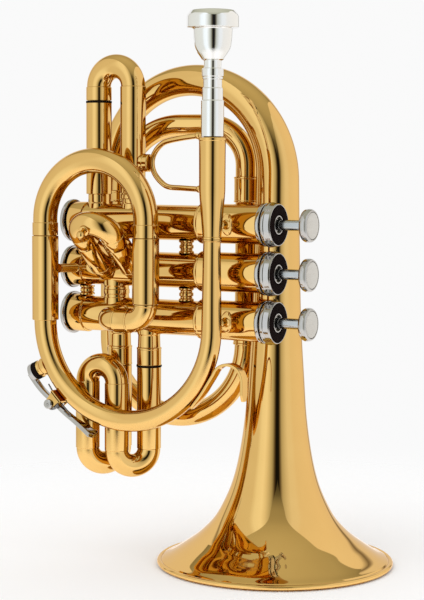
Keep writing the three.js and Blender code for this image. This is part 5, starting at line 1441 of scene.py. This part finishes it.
lever_parts = [
    strip("key_arm", arm, arm_widths, ARM_THICK, NICKEL),
    turned("key_cup", BOW, away(NIPPLE_AT), key_cup_outline, NICKEL, sides=HUB_SIDES),
    turned("key_hub", pivot, BACK, hub_outline, NICKEL, closed=True, sides=HUB_SIDES),
]
dress(joined("water_key_lever_skin", lever_parts), "water_key_group", "nickel_plate", "water_key_lever")
print("water key pivot stands", PIVOT_STAND, "mm off the tube")

# %% [markdown]
# The two ears stand on a small plate that is soldered to the tube. The screw has a slotted head, and
# the spring is one length of wire: a short end against the tube, two curls round the hub and a long end,
# bent back on itself, that lifts the lever's arm.

# %% Saddle, screw and spring of the water key
EAR = 1.3
EAR_R = 2.7
EAR_WAIST = 3.2
EAR_FOOT = 4.0
SCREW_HEAD_R = 2.6
SPRING_R = 3.3
SPRING_WIRE = 0.42
SPRING_CURLS = 2
SPRING_PITCH = 1.25
CURL_STEPS = 24
reach = hub_half + SLIT + EAR


def ear(name, centre_y):
    """An upright ear: round at the pivot, spreading to a wide foot on the tube."""
    foot = on_bow(PIVOT_AT, bow_skin(PIVOT_AT) - 0.6)
    rise = away(PIVOT_AT)
    along = Vector((-rise.z, 0, rise.x))
    height = (pivot - foot).length
    rim = [foot + along * EAR_FOOT, foot + along * EAR_WAIST + rise * (height * 0.35)]
    for a in range(0, 181, 12):
        angle = math.radians(a)
        rim.append(pivot + along * (EAR_R * math.cos(angle)) + rise * (EAR_R * math.sin(angle)))
    rim += [foot - along * EAR_WAIST + rise * (height * 0.35), foot - along * EAR_FOOT]
    points, faces = [], []
    for side_y in (centre_y - EAR / 2, centre_y + EAR / 2):
        points += [Vector((p.x, LEAD_Y + side_y, p.z)) for p in rim]
    count = len(rim)
    faces.append(tuple(range(count)))
    faces.append(tuple(range(count, 2 * count)))
    faces += [(k, (k + 1) % count, count + (k + 1) % count, count + k) for k in range(count)]
    return finish_mesh(name, points, faces, BRASS)


ear_at = hub_half + SLIT + EAR / 2
foot_line = [on_bow(PIVOT_AT + d, bow_skin(PIVOT_AT) + 0.35) for d in range(-4, 5)]
saddle_parts = [ear("ear_front", -ear_at), ear("ear_back", ear_at),
                strip("ear_plate", foot_line, [2 * reach] * len(foot_line), 1.3, BRASS)]
solder(joined("water_key_saddle_skin", saddle_parts), "water_key_saddle")
screw = turned("water_key_screw_skin", pivot - BACK * (reach + SLIT), BACK,
               [(-1.2, 0), (-1.2, 0.45), (-0.8, 0.5), (-1.15, 0.7), (-1.1, 1.9), (-0.7, SCREW_HEAD_R),
                (0, SCREW_HEAD_R), (0, SCREW_R), (2 * reach, SCREW_R), (2 * reach, 0)], NICKEL,
               sides=ROD_SIDES, easing=0.05)
dress(screw, "horn", "nickel_plate", "water_key_screw")

rise = away(PIVOT_AT)
coil_side = -rise
coil_across = BACK.cross(coil_side)
coil_start = pivot - BACK * (hub_half - SLIT - SPRING_WIRE)
coil = []
steps = CURL_STEPS * SPRING_CURLS
for i in range(steps + 1):
    angle = FULL_TURN * i / CURL_STEPS
    round_hub = coil_side * (SPRING_R * math.cos(angle)) + coil_across * (SPRING_R * math.sin(angle))
    coil.append(coil_start + BACK * (SPRING_PITCH * i / CURL_STEPS) + round_hub)
spring_side = coil[0].y - LEAD_Y
upper_end = [on_bow(angle, bow_skin(angle) + stand) + BACK * spring_side
             for angle, stand in ((216.5, 0.5), (220.0, 0.7))]
far_side = coil[-1].y - LEAD_Y
lower_end = [on_bow(angle, bow_skin(angle) + stand) + BACK * far_side
             for angle, stand in ((231.5, 2.9), (236.0, 3.6), (236.6, 4.3), (236.0, 4.9), (232.0, 4.7))]
spring_line = [*upper_end, *coil, *lower_end]
dress(wire("water_key_spring_skin", spring_line, SPRING_WIRE, STEEL, sides=12), "horn", "spring_steel",
      "water_key_spring")
print("spring wire", SPRING_WIRE * 2, "mm thick")

# %% [markdown]
# ## Mouthpiece
# The mouthpiece is one silver-plated turning: a wide rim with a bevel, a plain cup body, a neck with
# two rings, a sleeve and a long tapered shank that disappears in the receiver. Its cup is cut deep
# enough to look into.

# %% Mouthpiece
CUP_TOP = 295.6


def cup_outline():
    outside = [(0, 8.9), (0, 10.6), (0.35, 11.6), (2.4, 13.1), (3.3, 13.45), (8.6, 13.5), (9.1, 13.2),
               (9.4, 10.6), (10.0, 10.2), (14, 10.0), (18.1, 9.5), (20.0, 8.9), (22.0, 7.7), (24.0, 6.2),
               (25.0, 5.6), (25.6, 4.6), (29.4, 4.5), (29.7, 5.5), (33.5, 5.6), (33.8, 5.2), (35.0, 5.2),
               (35.2, 4.8), (39.4, 4.8), (39.7, 5.3), (45.6, 5.4), (46.0, 5.9), (64.2, 5.9), (64.3, 4.3),
               (86.6, 4.0)]
    inside = [(0, 8.9), (1.0, 8.4), (3.0, 8.0), (6.0, 6.9), (8.6, 5.2), (10.4, 3.3), (11.5, 2.1), (12.5, 1.9),
              (17.0, 1.9), (86.6, 3.2)]
    return hollow(outside, inside[1:])


dress(turned("mouthpiece_skin", (LEAD_X, LEAD_Y, CUP_TOP), DOWN, cup_outline(), SILVER, closed=True, sides=96,
             easing=0.25), "mouthpiece_group", "silver_plate", "mouthpiece")
print("mouthpiece rim at", CUP_TOP, "mm")

# %% [markdown]
# ## The white world and its table
# The trumpet stands on a pale table in front of a white background, so the world is one plain white
# in every direction. The table top is a round sheet of the same white that fades out at its edge. It
# keeps the soft shadow under the bell and shows no horizon. Reflections see it a little brighter than
# the camera does: an emission that only reflected rays see paints extra light into the table, a painted
# reflection in the underside of every polished tube.

# %% World and table
BACKGROUND = 0.955
TABLE_R = 0.42
TABLE_FADE = 0.12
TABLE_DROP = -0.0002
TABLE_WHITE = 0.965
# Strength of the painted glow that only reflections see on the table.
TABLE_PAINTED_GLOW = 0.26

world = bpy.data.worlds.new("white_world")
bpy.context.scene.world = world
world.use_nodes = True
world.node_tree.nodes["Background"].inputs["Color"].default_value = (BACKGROUND, BACKGROUND, BACKGROUND, 1)


def table_material():
    material, nodes, links = new_material("pale_table")
    shader = nodes["Principled BSDF"]
    shader.inputs["Base Color"].default_value = (TABLE_WHITE, TABLE_WHITE, TABLE_WHITE, 1)
    shader.inputs["Roughness"].default_value = 1.0
    shader.inputs["Specular IOR Level"].default_value = 0.0
    place = put(nodes, "ShaderNodeTexCoord")
    reach = put(nodes, "ShaderNodeVectorMath", operation="LENGTH")
    fade = put(nodes, "ShaderNodeMapRange", [("From Min", TABLE_FADE), ("From Max", TABLE_R)],
               interpolation_type="SMOOTHSTEP")
    clear = put(nodes, "ShaderNodeBsdfTransparent")
    choice = put(nodes, "ShaderNodeMixShader")
    path = put(nodes, "ShaderNodeLightPath")
    # Painted reflection: the table glows for reflected rays only, so polished tubes show it brighter than it is
    # lit.
    painted_gleam = put(nodes, "ShaderNodeMath", [(1, TABLE_PAINTED_GLOW)], operation="MULTIPLY")
    glow = put(nodes, "ShaderNodeEmission")
    lit = put(nodes, "ShaderNodeAddShader")
    join(links, ((place, "Object"), (reach, 0)), ((reach, "Value"), (fade, "Value")),
         ((fade, "Result"), (choice, "Fac")), ((path, "Is Glossy Ray"), (painted_gleam, 0)),
         ((painted_gleam, 0), (glow, "Strength")), ((shader, "BSDF"), (lit, 0)), ((glow, "Emission"), (lit, 1)),
         ((lit, "Shader"), (choice, 1)), ((clear, "BSDF"), (choice, 2)),
         ((choice, "Shader"), (nodes["Material Output"], "Surface")))
    return material


table_mesh = bpy.data.meshes.new("table_top")
disc = bmesh.new()
bmesh.ops.create_circle(disc, cap_ends=True, segments=96, radius=TABLE_R)
disc.to_mesh(table_mesh)
disc.free()
table_mesh.materials.append(table_material())
table = place_object("table_top", table_mesh)
table.location.z = TABLE_DROP
print("table top", round(TABLE_R * 2, 2), "m across")

# %% [markdown]
# ## The light tent
# Polished metal shows nothing but its surroundings, so it is photographed inside a tent: two bright
# cloth panels, one on either side of the lens, a duller gusset overhead where they lean together, and
# between them a slit for the lens. The slit is the black line that runs down every upright tube.
# One list of colours goes round the horizon, in degrees counted from the camera, and a second goes up
# the gusset.

# %% Tent colours
PANELS = ((-180, 0.955), (-136, 0.955), (-133, 0.22, 0.19, 0.15), (-130, 0.80, 0.80, 0.75),
          (-100, 0.84, 0.85, 0.80), (-64, 0.86, 0.88, 0.84), (-52, 1.04, 1.12, 1.16), (-36, 1.10, 1.18, 1.24),
          (-26, 0.92, 0.96, 0.94), (-12, 0.52, 0.54, 0.46), (-4, 0.10, 0.08, 0.05), (0, 0.01), (9, 0.01),
          (13, 0.16, 0.14, 0.10), (19, 0.56, 0.58, 0.52), (30, 0.78, 0.81, 0.80), (40, 0.93, 0.97, 1.00),
          (53, 0.95, 0.98, 1.00), (64, 0.94, 0.93, 0.90), (115, 1.00, 0.97, 0.92), (143, 1.00, 0.98, 0.94),
          (148, 0.20, 0.17, 0.13), (152, 0.955), (180, 0.955))
GUSSET = ((-90, 0.03, 0.03, 0.02), (20, 0.04, 0.04, 0.03), (30, 0.15, 0.15, 0.11), (40, 0.40, 0.40, 0.31),
          (52, 0.52, 0.52, 0.41), (70, 0.60, 0.60, 0.48), (90, 0.66, 0.66, 0.54))


def ramp(nodes, links, source, stops, span):
    """A colour ramp whose stops are written in degrees."""
    colours = nodes.new("ShaderNodeValToRGB")
    elements = colours.color_ramp.elements
    elements.remove(elements[1])
    for i, (degrees, *level) in enumerate(stops):
        place = 0.5 + degrees / span
        element = elements[0] if i == 0 else elements.new(place)
        element.position = place
        element.color = (*(level if len(level) == 3 else level * 3), 1)
    links.new(source, colours.inputs["Fac"])
    return colours.outputs["Color"]


print("tent panels:", len(PANELS), "stops")

# %% [markdown]
# The tent is one big sphere whose glow depends on the direction alone. The direction is turned into the
# two angles that read the colour ramps. Three slanted planes through the middle say where the panels
# stop and the gusset starts. Only reflections see the tent; the camera looks through it.

# %% Light tent
CAMERA_AZIMUTH = math.radians(29.07)
TENT_R = 2.5
LEFT_EDGE = (0.51, -1.65, -1.0)
RIGHT_EDGE = (0.234, 1.6, -1.0)
BACK_EDGE = (-0.9, 0.0, -1.0)
SEAM = 0.02


def turn_share(nodes, links, source, operation, span, second=None):
    """An angle from a Math node, as a share of its whole span."""
    angle = put(nodes, "ShaderNodeMath", operation=operation)
    links.new(source, angle.inputs[0])
    if second:
        links.new(second, angle.inputs[1])
    share = put(nodes, "ShaderNodeMath", [(1, 1 / math.radians(span)), (2, 0.5)], operation="MULTIPLY_ADD")
    links.new(angle.outputs[0], share.inputs[0])
    return share.outputs[0]


def tent_material():
    material, nodes, links = new_material("tent_cloth")
    nodes.clear()
    place = put(nodes, "ShaderNodeTexCoord")
    way = put(nodes, "ShaderNodeVectorMath", operation="NORMALIZE")
    turn = put(nodes, "ShaderNodeVectorRotate", rotation_type="Z_AXIS")
    turn.inputs["Angle"].default_value = QUARTER_TURN - CAMERA_AZIMUTH
    parts = put(nodes, "ShaderNodeSeparateXYZ")
    join(links, ((place, "Object"), (way, 0)), ((way, "Vector"), (turn, "Vector")),
         ((turn, "Vector"), (parts, "Vector")))
    around = turn_share(nodes, links, parts.outputs["Y"], "ARCTAN2", 360, parts.outputs["X"])
    lifted = turn_share(nodes, links, parts.outputs["Z"], "ARCSINE", 180)
    below = None
    for edge in (LEFT_EDGE, RIGHT_EDGE, BACK_EDGE):
        side = put(nodes, "ShaderNodeVectorMath", [(1, edge)], operation="DOT_PRODUCT")
        links.new(turn.outputs["Vector"], side.inputs[0])
        reach = side.outputs["Value"]
        if below:
            widest = put(nodes, "ShaderNodeMath", operation="MAXIMUM")
            links.new(below, widest.inputs[0])
            links.new(reach, widest.inputs[1])
            reach = widest.outputs[0]
        below = reach
    panel = put(nodes, "ShaderNodeMapRange", [("From Min", 0.0), ("From Max", SEAM)],
                interpolation_type="SMOOTHSTEP")
    links.new(below, panel.inputs["Value"])
    cloth = put(nodes, "ShaderNodeMix", data_type="RGBA")
    links.new(ramp(nodes, links, lifted, GUSSET, 180), cloth.inputs["A"])
    links.new(ramp(nodes, links, around, PANELS, 360), cloth.inputs["B"])
    glow = put(nodes, "ShaderNodeEmission")
    output = put(nodes, "ShaderNodeOutputMaterial")
    join(links, ((panel, "Result"), (cloth, "Factor")), ((cloth, "Result"), (glow, "Color")),
         ((glow, "Emission"), (output, "Surface")))
    return material


tent_mesh = bpy.data.meshes.new("light_tent")
shell = bmesh.new()
bmesh.ops.create_uvsphere(shell, u_segments=96, v_segments=48, radius=TENT_R)
shell.to_mesh(tent_mesh)
shell.free()
tent_mesh.materials.append(tent_material())
tent = place_object("light_tent", tent_mesh)
tent.visible_camera = False
tent.visible_diffuse = False
tent.visible_shadow = False
print("tent is", 2 * TENT_R, "m across")

# %% [markdown]
# One soft sun tops up the table's white and gives the shadow a side. The camera stands where the
# photographer stood: its place and turn were worked out from the valves, which are evenly spaced on
# the real instrument.

# %% Lamp and camera
SUN_WIDTH = math.radians(40)
SUN_STRENGTH = 0.42
SUN_WAY = (0.35, 0.6, -1.0)
CAMERA_LIFT = math.radians(4.53)
CAMERA_ROLL = math.radians(0.28)
CAMERA_PLACE = (530.7, -792.2, 216.9)
FOCAL_PIXELS = 1703.9
PHOTO_WIDE, PHOTO_TALL = 424, 600
SENSOR = 36.0

sun_data = bpy.data.lights.new("soft_sun", "SUN")
sun_data.angle = SUN_WIDTH
sun_data.energy = SUN_STRENGTH
sun = place_object("soft_sun", sun_data)
sun.rotation_euler = Vector(SUN_WAY).to_track_quat("-Z", "Y").to_euler()

camera_data = bpy.data.cameras.new("portrait_camera")
camera_data.sensor_fit = "AUTO"
camera_data.sensor_width = SENSOR
camera_data.lens = FOCAL_PIXELS * SENSOR / max(PHOTO_WIDE, PHOTO_TALL)
camera_data.clip_start = 0.05
camera_data.clip_end = 50
camera = place_object("portrait_camera", camera_data)
back = Vector((math.sin(CAMERA_AZIMUTH) * math.cos(CAMERA_LIFT),
               -math.cos(CAMERA_AZIMUTH) * math.cos(CAMERA_LIFT), math.sin(CAMERA_LIFT)))
level = Vector((math.cos(CAMERA_AZIMUTH), math.sin(CAMERA_AZIMUTH), 0))
upright = back.cross(level)
right = level * math.cos(CAMERA_ROLL) + upright * math.sin(CAMERA_ROLL)
top = upright * math.cos(CAMERA_ROLL) - level * math.sin(CAMERA_ROLL)
camera.matrix_world = Matrix.Translation(spot(CAMERA_PLACE)) @ Matrix((right, top, back)).transposed().to_4x4()
bpy.context.scene.camera = camera
bpy.context.scene.view_settings.view_transform = "Standard"
print("lens", round(camera_data.lens, 1), "mm")
